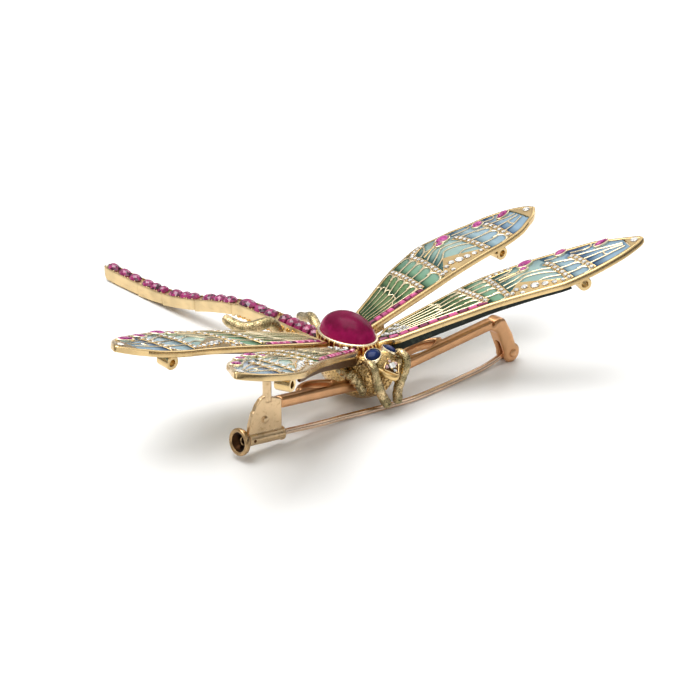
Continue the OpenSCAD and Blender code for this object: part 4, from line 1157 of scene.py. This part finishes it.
class BROOCH_OT_wings(bpy.types.Operator):
    """Adds the four wings with their enamel and stones"""

    bl_idname = "brooch.wings"
    bl_label = "Wings"

    def execute(self, context):
        rng = np.random.default_rng(7)
        pinks = Shape()
        for kind in ("fore", "hind"):
            for side in (-1, 1):
                wing = Wing(kind, side)
                n = wing.name()
                piece(f"gold_{n}", wing_gold(wing), "wing gold", [f"wing_{n}"], sharp=38)
                # The wires are painted lighter than the rims, as a highlight
                piece(f"wires_{n}", wing_wires(wing), "wire gold", sharp=38)
                # The ribs under the leading edges are painted as shade: near-black on the right wings, dark brown on
                # the left
                piece(f"rib_{n}", wing_rib(wing), "blackened" if side > 0 else "old gold", sharp=38)
                piece(f"panes_{n}", wing_panes(wing), "wing enamel", [f"enamel_{n}"])
                stones, beads = wing_diamonds(wing, rng)
                piece(f"stones_{n}", stones, "diamond", [f"diamonds_{n}"], smooth=False)
                piece(f"beads_{n}", beads, "wing gold")
                bars = wing_calibre(wing, rng)
                piece(f"baguettes_{n}", bars, "calibre ruby", [f"calibre_{n}"], smooth=False)
                places = [(wing.spot(b, q), *size) for b, q, *size in PINKS[kind]]
                stones_on(pinks, wing, places, rng, PINK, 12)
        piece("pink_stones", pinks, "pink stone", ["wing_pink_stones"], smooth=False)
        return {"FINISHED"}


class BROOCH_OT_ruby(bpy.types.Operator):
    """Adds the ruby and its bezel"""

    bl_idname = "brooch.ruby"
    bl_label = "Ruby"

    def execute(self, context):
        y, size = middle("ruby")[1], extent("ruby")
        low, rim = (corner[2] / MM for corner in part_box("ruby_bezel"))
        base, top = (corner[2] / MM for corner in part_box("ruby"))
        girdle = rim - 0.1
        dome = Shape()
        centre = np.array([0, y, girdle])
        dome.add(*rings_dome(size[0] / 2, size[1] / 2, girdle - base, top - girdle, centre, np.eye(3), 40, 128))
        piece("ruby_dome", dome, "ruby", ["ruby"])
        # The bezel's collar, the polished edge that holds the stone, painted lighter as a highlight, the claws
        #         and the wall below it, painted dark red as shade and a reflection of the ruby. Each section is given
        #         as (inwards, up) from the foot of the oval that is 0.45 mm outside the stone.
        h, foot_line = rim - low, np.array([0, y, low])
        a, b = size[0] / 2 + 0.45, size[1] / 2 + 0.45
        collar, edge, wall, claws = Shape(), Shape(), Shape(), Shape()
        for shape, section in (
            (collar, [
                (0, 0), (0, h * 0.62), (0.05, h * 0.75), (-0.02, h * 0.9), (0.12, h + 0.05), (0.3, h + 0.12),
                (0.42, h), (0.45, h * 0.8), (0.45, 0),
            ]),
            (edge, [
                (-0.04, h * 0.8), (-0.04, h * 0.98), (0.1, h + 0.12), (0.3, h + 0.18), (0.46, h + 0.06),
                (0.46, h * 0.8),
            ]),
            (wall, [(-0.015, 0.02), (-0.015, h * 0.76), (0.2, h * 0.76), (0.2, 0.02)]),
        ):
            oval_ring(shape, a, b, np.array(section) * (-1, 1), foot_line, np.eye(3), 160)
        for x, y in circle(32):
            stand, out = foot_line + (a * x, b * y, 0), unit(np.array([x / a, y / b, 0]))
            steps_up = ((0.02, -0.05), (0.1, h * 0.35), (0.03, h * 0.7), (-0.1, h * 0.86))
            course = [stand + out * d + (0, 0, z) for d, z in steps_up]
            claws.add(*sweep(smooth_path(course, 9), circle(8), 0.24, None, out))
        piece("bezel", collar, "yellow gold", ["ruby_bezel"])
        piece("bezel_edge", edge, "wire gold")
        piece("bezel_claws", claws, "yellow gold")
        piece("bezel_wall", wall, "ruby shade", sharp=40)
        return {"FINISHED"}


# ---------------------------------------------------------------- abdomen

# The abdomen's front end, length, height of its back, width and height of its wall
AB_Y, AB_LEN, AB_Z, AB_W, AB_H = 5.56, 71.0, 8.8, 3.4, 2.5
# How many scallops the wall's foot has on each side, and the share of the length that they take
SCALLOPS, SCALLOP_END = 18, 0.377
# The row of stones next to the ruby: how many, and the shares of the length where it starts and that it takes
ROW, ROW_START, ROW_SHARE = 5, 0.03, 0.163
# Share of the abdomen's length, then its back's height, its wall's height and its width as shares
ABDOMEN = [
    (0, 1, 0.95, 0.9), (0.04, 1, 1, 1), (0.2165, 0.995, 1, 1), (0.34, 0.985, 1, 0.98), (0.4, 0.9, 0.98, 0.97),
    (0.48, 0.755, 0.98, 0.95), (0.554, 0.59, 0.96, 0.94), (0.62, 0.465, 0.92, 0.92), (0.7076, 0.355, 0.94, 0.9),
    (0.79, 0.32, 1, 0.87), (0.88, 0.312, 1.02, 0.82), (1, 0.33, 1, 0.76),
]
# Shares of the length at which the segments meet
NOTCHES = [0, 0.2165, 0.3865, 0.554, 0.7076, 0.826, 1]
# Stones on the back: where each sits and how long it is, as shares of the abdomen's length
TAIL_STONES = [
    (0.24, 0.0366), (0.282, 0.042), (0.3385, 0.06), (0.416, 0.041), (0.461, 0.041), (0.51, 0.05),
    (0.582, 0.034), (0.619, 0.034), (0.665, 0.049), (0.7265, 0.028), (0.761, 0.0324), (0.799, 0.0366),
    (0.861, 0.042), (0.911, 0.045), (0.965, 0.045),
]


def back(s):
    """Height of the abdomen's back."""
    return AB_Z * curve(s, ABDOMEN, 1)


def foot(s):
    """Height of the foot of its wall."""
    return np.maximum(back(s) - AB_H * curve(s, ABDOMEN, 2), 0.02 * (1 - s))


def half_width(s):
    """Half its width."""
    return AB_W / 2 * curve(s, ABDOMEN, 3)


def abdomen_gold():
    """The abdomen's shell: a U-shaped section carried along its course. The width is drawn in at each
    joint, the wall's foot drops a little along each segment and is scalloped near the body, and the
    hollow closes at both ends."""
    shape = Shape()
    s = np.concatenate([np.linspace(0, 0.38, 300), np.linspace(0.38, 1, 260)[1:]])
    ends = np.array(NOTCHES)
    k = np.clip(np.searchsorted(ends, s, side="right") - 1, 0, 5)
    f = (s - ends[k]) / (ends[k + 1] - ends[k])
    d = np.minimum(s - ends[k], ends[k + 1] - s) * AB_LEN
    pinch = np.where((s > 0.01) & (s < 0.99), 0.2 * np.exp(-((d / 0.16) ** 2)), 0)
    tip = np.sqrt(np.clip(1 - (np.clip(s - 0.975, 0, 1) / 0.03) ** 2, 0, 1))
    w = (half_width(s) - pinch) * tip
    z = back(s)
    low = foot(s) + 0.3 * (1 - f) * (z - foot(s)) * 0.35 * (s > 0.38)
    pitch = SCALLOP_END * AB_LEN / SCALLOPS
    arc = (s * AB_LEN) % pitch - pitch / 2
    low = low + np.where(s < SCALLOP_END, np.sqrt(np.clip(0.25 - arc**2, 0, 1)), 0)
    low = low + (z - 0.5 - low) * 0.75 * np.clip((s - 0.972) / 0.028, 0, 1) ** 2
    closed = steps(np.minimum(s, 1 - s), 0.0, 0.012)
    inner = low + (z - 0.75 - low) * closed
    y = AB_Y + AB_LEN * s
    wi = np.maximum(w - 0.5, w * 0.2)
    # The upper edge stands higher beside the stones near the body
    edge = 0.12 + 0.3 * (1 - steps(s, 0.2, 0.3))
    cols = [
        (-w, low), (-w, z - 0.35), (-w + 0.02, z + edge - 0.1), (-w + 0.08, z + edge), (-w + 0.22, z + edge),
        (-w + 0.3, z - 0.12), (w * 0, z - 0.14), (w - 0.3, z - 0.12), (w - 0.22, z + edge), (w - 0.08, z + edge),
        (w - 0.02, z + edge - 0.1), (w, z - 0.35), (w, low), (wi, low), (wi, inner), (-wi, inner), (-wi, low),
    ]
    rows = []
    for x, z in cols:
        # Where the tip is narrower than the section's corners, each corner stops at the tip's side
        x = np.where(w < 0.4, np.sign(x.mean()) * np.minimum(np.abs(x), w), x)
        rows.append(np.stack([x, y, z], -1))
    rings = np.stack(rows, 1)
    shape.add(*capped(rings, rings[[0, -1]].mean(1)))
    return shape


def abdomen_gallery():
    """Beads between the scallops, a small ring and a band inside them, and five-petalled roses in the
    wall beside the row of stones."""
    shape = Shape()

    def on_wall(side, s, inwards, height):
        return np.array([side * (half_width(s) - inwards), AB_Y + AB_LEN * s, height])

    for i in range(1, SCALLOPS):
        s = i / SCALLOPS * SCALLOP_END
        for side in (-1, 1):
            shape.add(*bead(on_wall(side, s, 0.22, foot(s) + 0.12), 0.36, 10))
    for i in range(SCALLOPS):
        s = (i + 0.5) / SCALLOPS * SCALLOP_END
        for side in (-1, 1):
            ring = [(0.28, -0.09), (0.28, 0.09), (0.46, 0.09), (0.46, -0.09)]
            shape.add(*lathe(ring, on_wall(side, s, 0.55, foot(s) + 0.4), (1, 0, 0), (0, 0, 1), 14))
    s = np.linspace(0.01, 0.37, 60)
    for side in (-1, 1):
        shape.add(*sweep(on_wall(side, s, 0.6, foot(s) + 0.22).T, circle(8), 0.14, 0.56))
    for i in range(8):
        s = 0.012 + (i + 0.5) * 0.023
        for side in (-1, 1):
            place = on_wall(side, s, -0.02, back(s) - 0.62)
            for y, z in circle(5):
                shape.add(*bead(place + (0, 0.38 * y, 0.34 * z), 0.26, 8))
    return shape


def tail_frame(s, length):
    """Place and rotation of a stone on the abdomen's back."""
    d = length / 2 / AB_LEN
    rise = math.degrees(math.atan2(back(s + d) - back(s - d), length))
    top = max(back(s), (back(s - d) + back(s + d)) / 2)
    return np.array([0, AB_Y + AB_LEN * s, top + 0.02]), turned(rise)


class BROOCH_OT_abdomen(bpy.types.Operator):
    """Adds the abdomen with its stones"""

    bl_idname = "brooch.abdomen"
    bl_label = "Abdomen"

    def execute(self, context):
        rng = np.random.default_rng(11)
        piece("abdomen_gold", abdomen_gold(), "tail gold", ["abdomen"], sharp=40)
        piece("abdomen_gallery", abdomen_gallery(), "gallery gold")
        stones, claws = Shape(), Shape()
        for s, share in TAIL_STONES:
            length = share * AB_LEN
            place, turn = tail_frame(s, length)
            w = half_width(s) * 0.86
            rings = [
                (w * k, length / 2 * 1.03 * k, h)
                for k, h in ((0.92, -0.25), (1.04, 0.12), (0.8, 0.66), (0.42, 0.95))
            ]
            gem(stones, place, turn, rings, 9, rng)
            for side in (-1, 1):
                for end in (-1, 1):
                    local = np.array([side * (w - 0.08), end * length / 2 * 0.8, 0.1])
                    claws.add(*bead(turn @ local + place, 0.17))
        piece("tail_stones", stones, "tail stone", ["abdomen_stones"], smooth=False)
        piece("tail_claws", claws, "tail gold")
        row = Shape()
        for i in range(ROW):
            s, length = ROW_START + (i + 0.5) * ROW_SHARE / ROW, ROW_SHARE * AB_LEN / ROW - 0.08
            place, turn = tail_frame(s, length)
            rings = [
                (AB_W * 0.47 * a, length / 2 * 1.1 * a, h)
                for a, h in ((0.95, -0.2), (1.06, 0.3), (0.84, 0.92), (0.42, 1.28))
            ]
            gem(row, place, turn, rings, 9, rng, True, 0.6, 0.12 if i % 2 else -0.1)
        piece("abdomen_row", row, "tail ruby", ["abdomen_calibre"], smooth=False)
        return {"FINISHED"}


# ---------------------------------------------------------------- head and legs

# The back of the head, its length, the height of its middle, its width and its height
HEAD_Y, HEAD_LEN, HEAD_Z, HEAD_W, HEAD_H = -9.56, 2.8, 9.7, 5.4, 4.0
# Share of the way forward, half width, half height and height of the middle as shares
HEAD = [
    (0, 0.8, 0.78, 0.04), (0.16, 0.94, 0.92, 0.05), (0.42, 1, 1, 0), (0.7, 0.88, 0.9, -0.08), (0.9, 0.6, 0.66, -0.16),
    (1, 0.34, 0.36, -0.2),
]
# Half width and half length of an eye, then the middle of the face and how far it slopes, in degrees
EYE_W, EYE_L = 1.42, 1.5
FACE, FACE_TILT = np.array([0, -12.55, 9.5]), 41.4


def head_gold():
    """The head: ovals stacked along Y whose sizes follow the table, flattened a little at the top and
    creased between the eyes."""
    shape = Shape()
    s = np.concatenate([np.linspace(0, 0.9, 28), 0.9 + 0.1 * np.linspace(0, 1, 6)[1:]])
    g = np.arange(56) * 2 * np.pi / 56
    a, c = HEAD_W / 2 * curve(s, HEAD, 1), HEAD_H / 2 * curve(s, HEAD, 2)
    mid = HEAD_Z + HEAD_H * curve(s, HEAD, 3)
    crease = 1 - 0.13 * np.exp(-((np.cos(g) / 0.16) ** 2)) * (np.sin(g) > 0)
    x = a[:, None] * np.sign(np.cos(g)) * np.abs(np.cos(g)) ** 0.9
    z = mid[:, None] + c[:, None] * np.sin(g) * crease
    rings = np.stack([x, np.broadcast_to((HEAD_Y - HEAD_LEN * s)[:, None], x.shape), z], -1)
    shape.add(*capped(rings, [rings[0].mean(0), rings[-1].mean(0) - (0, 0.15, 0)]))
    return shape


def eye_frame(side):
    """Place and rotation of an eye."""
    return np.array([side * 1.85, HEAD_Y, HEAD_Z + 1.2]), turned(14, 23 * side)


def eye_rims():
    """Thin upright rims round both eyes."""
    shape = Shape()
    rim = np.array([(-0.03, -0.9), (-0.03, 0.6), (0.05, 0.76), (0.13, 0.74), (0.2, 0.5), (0.34, -0.9)])
    for side in (-1, 1):
        oval_ring(shape, EYE_L, EYE_W, rim, *eye_frame(side))
    return shape


def kite(n=60):
    """The outline of the face: a kite with rounded corners, its two side corners lower than its ridge."""
    corner = np.array([(0, 1.74), (-1.9, 0.0), (0, -2.2), (1.9, 0.0), (0, 1.74)])
    at = np.linspace(0, 4, n + 1)[:-1]
    path = rounded(np.stack([np.interp(at, np.arange(5), corner[:, k]) for k in range(2)], -1), 4)
    return np.concatenate([path, 0.3 - 0.26 * np.abs(path[:, :1])], -1)


def face_frame():
    """The wire round the face, with a grain of gold at each corner of its stones."""
    shape, turn = Shape(), turned(FACE_TILT)
    verts, quads = sweep(kite(), circle(8), 0.13, 0.22, (0, 0, 1), True)
    shape.add(verts @ turn.T + FACE, quads)
    for x, y in ((-0.55, 0.5), (0.55, 0.5), (0.5, -0.6), (-0.5, -0.6), (0, 1.3), (0, -1.6)):
        shape.add(*bead(turn @ np.array([x, y, 0.42]) + FACE, 0.2, 10))
    return shape


def face_plate():
    """The floor of the face: the kite filled from its middle outwards, 0.8 mm thick."""
    shape = Shape()
    top = kite()[None] * np.linspace(0.2, 1, 5)[:, None, None]
    verts, quads, tris = capped(np.concatenate([top, (top - (0, 0, 0.8))[::-1]]), [[0, 0, 0.06], [0, 0, -0.74]])
    shape.add(verts @ turned(FACE_TILT).T + FACE, quads, tris)
    return shape


def head_lip():
    """The lip: a deep rounded band that runs round the front of the head below the face."""
    shape = Shape()
    right = [(2.55, -10.0, 9.2), (2.1, -11.5, 8.7), (1.25, -12.9, 8.1), (0, -13.7, 7.6)]
    lip = smooth_path([(-x, y, z) for x, y, z in right] + right[-2::-1], 50)
    shape.add(*sweep(lip, circle(16), 0.5, 0.72))
    return shape


# Courses of the legs on the right side: point and thickness as a share
LEGS = {
    "front": [
        (4.1, -8.66, 9.3, 0.8), (3.95, -10.3, 10.6, 0.85), (4.0, -12.0, 10.0, 1.05), (3.75, -12.4, 8.3, 1.1),
        (3.0, -12.2, 6.4, 1.2), (2.05, -12.15, 4.1, 1.15), (1.45, -12.7, 2.6, 1.2), (1.25, -13.1, 1.95, 1.0),
    ],
    "mid": [
        (6.3, -5, 8.5, 1.05), (6.3, -7, 8.1, 1.35), (5.5, -8.8, 6.9, 1.4), (4.7, -9.6, 5.3, 1.15),
        (4.3, -9.2, 3.9, 0.7),
    ],
    "rear_left": [
        (2.9, 5.7, 7.0, 1.1), (3.0, 10.5, 6.4, 1.15), (3.3, 14.0, 6.6, 1.2), (3.8, 15.3, 7.8, 1.25),
        (4.4, 15.8, 9.5, 1.3), (5.4, 16.4, 10.6, 1.4), (6.6, 17.0, 10.4, 1.5), (7.9, 18.2, 9.7, 1.6),
        (9.2, 20.2, 9.3, 1.55), (10.2, 22.4, 10.0, 1.4), (10.6, 23.6, 10.7, 1.1),
    ],
    "rear_right": [
        (2.9, 5.7, 7.3, 1.1), (3, 8.5, 7.6, 1.1), (3.2, 11.9, 8.0, 1.1), (4, 13.9, 8.6, 1.2), (5, 16.4, 8.8, 1.25),
        (6.2, 19.4, 7.4, 1.25), (7.4, 22.4, 6.4, 1.1),
    ],
}


# How each pair of legs is chased: up direction, pitch of the ridges, how far they wind and their depth
LEG_WAVES = (
    ("front", (1, 0, 0), 1.3, 1, 0.035), ("mid", (1, 0, 0), 1.2, 0, 0.09), ("rear", (0, 0, 1), 0.5, 2, 0.022),
)


def leg(course, side, up, pitch, twist, depth):
    """A chased leg: a round section along its course, whose radius swells by a sine of the length over
    the pitch plus a share of the angle, so that the ridges wind round it."""
    pts = smooth_path(course, 190)
    pts[:, 0] *= side
    path, r = pts[:, :3], 0.8 * pts[:, 3]
    m = 24
    along = np.concatenate([[0], np.cumsum(np.linalg.norm(np.diff(path, axis=0), axis=1))])
    angle = np.arange(m) * 2 * np.pi / m
    wave = np.sin(2 * np.pi * along[:, None] / pitch + twist * angle[None] * side)
    swell = 1 + depth * (wave - 0.25 * np.cos(3 * angle)[None])
    return sweep(path, circle(m), r, None, up, False, swell)


class BROOCH_OT_head(bpy.types.Operator):
    """Adds the head with its eyes and the face stone"""

    bl_idname = "brooch.head"
    bl_label = "Head"

    def execute(self, context):
        rng = np.random.default_rng(5)
        piece("head_gold", head_gold(), "head gold", ["head"])
        piece("face_frame", face_frame(), "wing gold", sharp=50)
        # The eye rims are painted lighter, as a highlight
        piece("eye_rims", eye_rims(), "wire gold", sharp=50)
        piece("head_lip", head_lip(), "lip gold")
        # The face's floor is painted dark brown as shade below its stones
        piece("face_plate", face_plate(), "old gold", sharp=50)
        for side, name in ((-1, "left"), (1, "right")):
            place, turn = eye_frame(side)
            shape = Shape()
            seat = place + turn @ np.array([0, 0, 0.5])
            shape.add(*rings_dome(EYE_L - 0.02, EYE_W - 0.02, 0.6, 0.7, seat, turn, 16, 48))
            piece(f"sapphire_{name}", shape, "sapphire", [f"eye_{name}"])
        stones, sides = Shape(), Shape()
        tilt = turned(FACE_TILT)
        for x, y, k, shape in (
            (0, 0, 0.85, stones), (0, -1.15, 0.4, stones), (-1.05, 0.2, 0.5, sides), (1.05, 0.2, 0.5, sides),
            (0, 1.0, 0.36, sides),
        ):
            rings = [(k, k, 0.0), (k, k, 0.3 * k), (0.62 * k, 0.62 * k, 0.62 * k)]
            gem(shape, FACE + tilt @ np.array([x, y, 0.25 - 0.26 * abs(x)]), tilt, rings, 4, rng, False)
        piece("face_sides", sides, "pale pink stone", smooth=False)
        piece("face_stone", stones, "diamond", ["face_diamond"], smooth=False)
        return {"FINISHED"}


class BROOCH_OT_legs(bpy.types.Operator):
    """Adds the six chased legs"""

    bl_idname = "brooch.legs"
    bl_label = "Legs"

    def execute(self, context):
        for side, name in ((-1, "left"), (1, "right")):
            for kind, up, pitch, twist, depth in LEG_WAVES:
                course = LEGS[f"rear_{name}" if kind == "rear" else kind]
                shape = Shape()
                shape.add(*leg(course, side, up, pitch, twist, depth))
                piece(f"{kind}_leg_{name}", shape, "leg gold", [f"leg_{kind}_{name}"])
        return {"FINISHED"}


# ---------------------------------------------------------------- fitting

# Centre of the hinge, then the pin stem's length, bow and radius
HINGE = np.array([33.5, -9.4, 1.9])
PIN_LEN, PIN_BOW, PIN_R = 60.1, 3, 0.575
# The stem: share of its length from the hinge, height as a share of the hinge's and share of the bow
PIN = [
    (0, 1, 0), (0.045, 0.6, 0.02), (0.09, 0.4, 0.13), (0.136, 0.33, 0.27), (0.205, 0.31, 0.41), (0.277, 0.305, 0.56),
    (0.342, 0.305, 0.65), (0.406, 0.305, 0.73), (0.463, 0.305, 0.73), (0.54, 0.305, 0.53), (0.62, 0.32, 0.27),
    (0.7, 0.42, 0.07), (0.8, 0.63, 0), (0.93, 1.13, 0), (0.956, 1.235, 0), (1, 1.38, 0),
]
# Inner end and direction of the catch tube
TUBE = np.array([-24.0, -9.4, 2.35])
TUBE_AXIS = np.array([-math.cos(math.radians(6.7)), 0, math.sin(math.radians(6.7))])


def softened(name, node, look, voxel, rounds, full):
    """A cast and filed part: a copy of the CAD node, merged, remeshed in small cells and smoothed, so
    that its edges are round. It is first made fuller by as much as the smoothing takes off."""
    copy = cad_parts[node].data.copy()
    copy.name = name
    shell = bmesh.new()
    shell.from_mesh(copy)
    bmesh.ops.remove_doubles(shell, verts=shell.verts, dist=1e-6)
    bmesh.ops.recalc_face_normals(shell, faces=shell.faces)
    shell.to_mesh(copy)
    shell.free()
    obj = add_object(name, copy)
    copy.materials.clear()
    copy.materials.append(finish(look))
    remesh = obj.modifiers.new("cells", "REMESH")
    remesh.mode, remesh.voxel_size, remesh.use_smooth_shade = "VOXEL", voxel * MM, True
    fill = obj.modifiers.new("fill", "DISPLACE")
    fill.strength, fill.mid_level = full * MM, 0.0
    soft = obj.modifiers.new("filed", "SMOOTH")
    soft.factor, soft.iterations = 0.5, rounds
    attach(obj, "brooch")
    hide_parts(node)


class BROOCH_OT_fitting(bpy.types.Operator):
    """Adds the bar, the catch, the hinge and the pin stem"""

    bl_idname = "brooch.fitting"
    bl_label = "Brooch fitting"

    def execute(self, context):
        softened("bar", "brooch_bar", "rose gold", 0.12, 60, 0.18)
        softened("catch_plate", "catch_bracket", "catch gold", 0.1, 5, 0.02)
        s = np.linspace(0.012, 1, 150)
        x, y, z = HINGE
        path = np.stack([x - PIN_LEN * s, y - PIN_BOW * curve(s, PIN, 2), z * curve(s, PIN, 1)], -1)
        # The last twentieth of the stem runs to a point
        radius = PIN_R * np.where(s > 0.95, 1 - 0.75 * (s - 0.95) / 0.05, 1)
        eye = [(0.55, -0.55), (0.55, 0.55), (1.12, 0.55), (1.25, 0.42), (1.25, -0.42), (1.12, -0.55)]
        pin = Shape()
        pin.add(*sweep(path, circle(16), radius))
        pin.add(*lathe(eye, HINGE, (0, 1, 0), (1, 0, 0), 40))
        piece("pin", pin, "pin gold", ["pin_stem"], "pin", sharp=50)
        head = [(0, -1.85), (0.4, -1.83), (0.72, -1.72), (0.85, -1.55), (0.85, -1.46), (0.5, -1.4)]
        rivet = Shape()
        rivet.add(*lathe(head + [(r, -d) for r, d in head[::-1]], HINGE, (0, 1, 0), (1, 0, 0), 32))
        piece("rivet", rivet, "rose gold", ["hinge_rivet"], sharp=50)
        flare = [
            (0, 3.0), (0.7, 3.02), (0.8, 3.1), (0.8, 8.3), (1.2, 8.32), (1.35, 8.5), (2.25, 9.3), (2.46, 9.5),
            (2.57, 9.8), (2.58, 10.2), (2.5, 10.42), (2.25, 10.55), (1.95, 10.48), (1.72, 10.25), (1.4, 9.75),
            (1.05, 9.35), (0.66, 9.1), (0.62, 6.2), (0, 6.1),
        ]
        tube = Shape()
        tube.add(*lathe(flare, TUBE, TUBE_AXIS, (0, 1, 0), 64))
        piece("catch_tube", tube, "cup gold", ["catch_slide"], "catch", sharp=45)
        # The inside of the flare, painted near-black as shade
        cup = [
            (0, 6.3), (0.5, 6.35), (0.6, 9.0), (1.0, 9.3), (1.4, 9.7), (1.74, 10.22), (1.76, 10.36), (1.66, 10.3),
            (1.2, 9.75), (0.8, 9.2), (0.72, 8.9), (0.9, 8.8), (0.45, 8.6), (0, 8.5),
        ]
        hollow = Shape()
        hollow.add(*lathe(cup, TUBE, TUBE_AXIS, (0, 1, 0), 64))
        piece("catch_hollow_shade", hollow, "hollow", body="catch", sharp=60)
        # The hole in the fixed tube, a dark disc of painted shade, its collar and the pip on the plate
        mark = [(0, -0.05), (0.28, -0.04), (0.32, 0.0), (0.3, 0.06), (0, 0.06)]
        hole = Shape()
        hole.add(*lathe(mark, TUBE + TUBE_AXIS * 7.3 - (0, 1.2, 0), (0, -1, 0), (1, 0, 0), 24))
        piece("catch_hole", hole, "old gold", sharp=50)
        collar = [(1.2, -0.02), (1.2, 0.5), (1.32, 0.44), (1.36, 0.25), (1.32, 0.05)]
        pip = [(0, -0.5), (0.35, -0.48), (0.6, -0.36), (0.66, -0.12), (0.8, -0.08), (0.82, 0.1), (0, 0.1)]
        trim = Shape()
        trim.add(*lathe(collar, TUBE + TUBE_AXIS * 0.02, TUBE_AXIS, (0, 1, 0), 48))
        trim.add(*lathe(pip, (-28.34, -9.85, 6.4), (0, 1, 0), (1, 0, 0), 28))
        piece("catch_trim", trim, "catch gold", sharp=50)
        return {"FINISHED"}


class BROOCH_OT_thorax(bpy.types.Operator):
    """Gives the thorax its chased finish"""

    bl_idname = "brooch.thorax"
    bl_label = "Thorax"

    def execute(self, context):
        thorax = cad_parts["thorax"].data
        thorax.materials.clear()
        thorax.materials.append(finish("chased gold"))
        return {"FINISHED"}


# How far the floor reaches from the middle, in metres
FLOOR_REACH = 3


class BROOCH_OT_stage(bpy.types.Operator):
    """Adds the floor, the lights and the camera"""

    bl_idname = "brooch.stage"
    bl_label = "Stage"

    def execute(self, context):
        s = context.scene.brooch_stage
        scene = context.scene
        mesh = bpy.data.meshes.new("floor")
        r = FLOOR_REACH
        mesh.from_pydata([(-r, -r, 0), (r, -r, 0), (r, r, 0), (-r, r, 0)], [], [(0, 1, 2, 3)])
        floor = add_object("floor", mesh)
        scene.view_settings.view_transform = "Standard"
        f = Finish("floor")
        floor.data.materials.append(f.surface(Base_Color=tuple(s.floor), Roughness=0.3, Specular_IOR_Level=0.35))
        scene.world = bpy.data.worlds.new("studio")
        f = Finish("studio", scene.world)
        # The dome is bright overhead and behind the brooch, and dim round the camera's side
        way = f.node("ShaderNodeTexCoord", output="Generated")
        up = f.node("ShaderNodeVectorMath", {"operation": "DOT_PRODUCT"}, {0: way, 1: (0.0, 0.0, 1.0)}, "Value")
        behind = f.node("ShaderNodeVectorMath", {"operation": "DOT_PRODUCT"}, {0: way, 1: (-0.25, 0.97, 0.0)}, "Value")
        bright = up.smooth(0.1, 0.8) * 0.85 + behind.smooth(-0.5, 0.8) * 0.25 + 0.08
        f.surface(Color=f.mix(bright, (0.0, 0.0, 0.0), (1.0, 0.99, 0.97)), Strength=s.dome)
        for name, place, size, power in (
            ("overhead", (-0.15, 0.2, 0.8), 0.7, s.key),
            ("side", (0.8, 0.3, 0.5), 0.6, s.key * 0.25),
            ("front", (-0.5, -0.75, 0.4), 0.4, s.key * 0.1),
        ):
            data = bpy.data.lights.new(name, "AREA")
            data.energy, data.size = power, size
            light = add_object(name, data)
            light.location = place
            light.rotation_mode = "QUATERNION"
            light.rotation_quaternion = (Vector((0, 0, 0.01)) - Vector(place)).to_track_quat("-Z", "Y")
        a, e = s.azimuth, s.elevation
        away = Vector((math.sin(a) * math.cos(e), -math.cos(a) * math.cos(e), math.sin(e)))
        data = bpy.data.cameras.new("camera")
        data.lens, data.sensor_width = s.lens, 36
        data.clip_start, data.clip_end = 0.01, 20
        camera = add_object("camera", data)
        camera.location = Vector(s.target) + away * s.distance
        camera.rotation_mode = "QUATERNION"
        camera.rotation_quaternion = (-away).to_track_quat("-Z", "Y")
        scene.camera = camera
        return {"FINISHED"}


class BROOCH_PT_panel(bpy.types.Panel):
    """Lists the pieces of the brooch"""

    bl_idname = "BROOCH_PT_panel"
    bl_label = "Dragonfly brooch"
    bl_space_type = "VIEW_3D"
    bl_region_type = "UI"
    bl_category = "Brooch"

    def draw(self, context):
        for name in ("yellow", "pale", "rose"):
            self.layout.prop(context.scene.brooch_gold, name)
        for made in OPERATORS:
            self.layout.operator(made.bl_idname)


OPERATORS = (
    BROOCH_OT_stage, BROOCH_OT_wings, BROOCH_OT_ruby, BROOCH_OT_thorax, BROOCH_OT_abdomen, BROOCH_OT_head,
    BROOCH_OT_legs, BROOCH_OT_fitting,
)
CLASSES = (BroochGold, BroochStage, *OPERATORS, BROOCH_PT_panel)


def register():
    for made in CLASSES:
        bpy.utils.register_class(made)
    bpy.types.Scene.brooch_gold = bpy.props.PointerProperty(type=BroochGold)
    bpy.types.Scene.brooch_stage = bpy.props.PointerProperty(type=BroochStage)


def unregister():
    del bpy.types.Scene.brooch_gold, bpy.types.Scene.brooch_stage
    for made in reversed(CLASSES):
        bpy.utils.unregister_class(made)


def main():
    register()
    bpy.ops.brooch.stage()
    bpy.ops.brooch.wings()
    bpy.ops.brooch.ruby()
    bpy.ops.brooch.thorax()
    bpy.ops.brooch.abdomen()
    bpy.ops.brooch.head()
    bpy.ops.brooch.legs()
    bpy.ops.brooch.fitting()


if __name__ == "__main__":
    main()
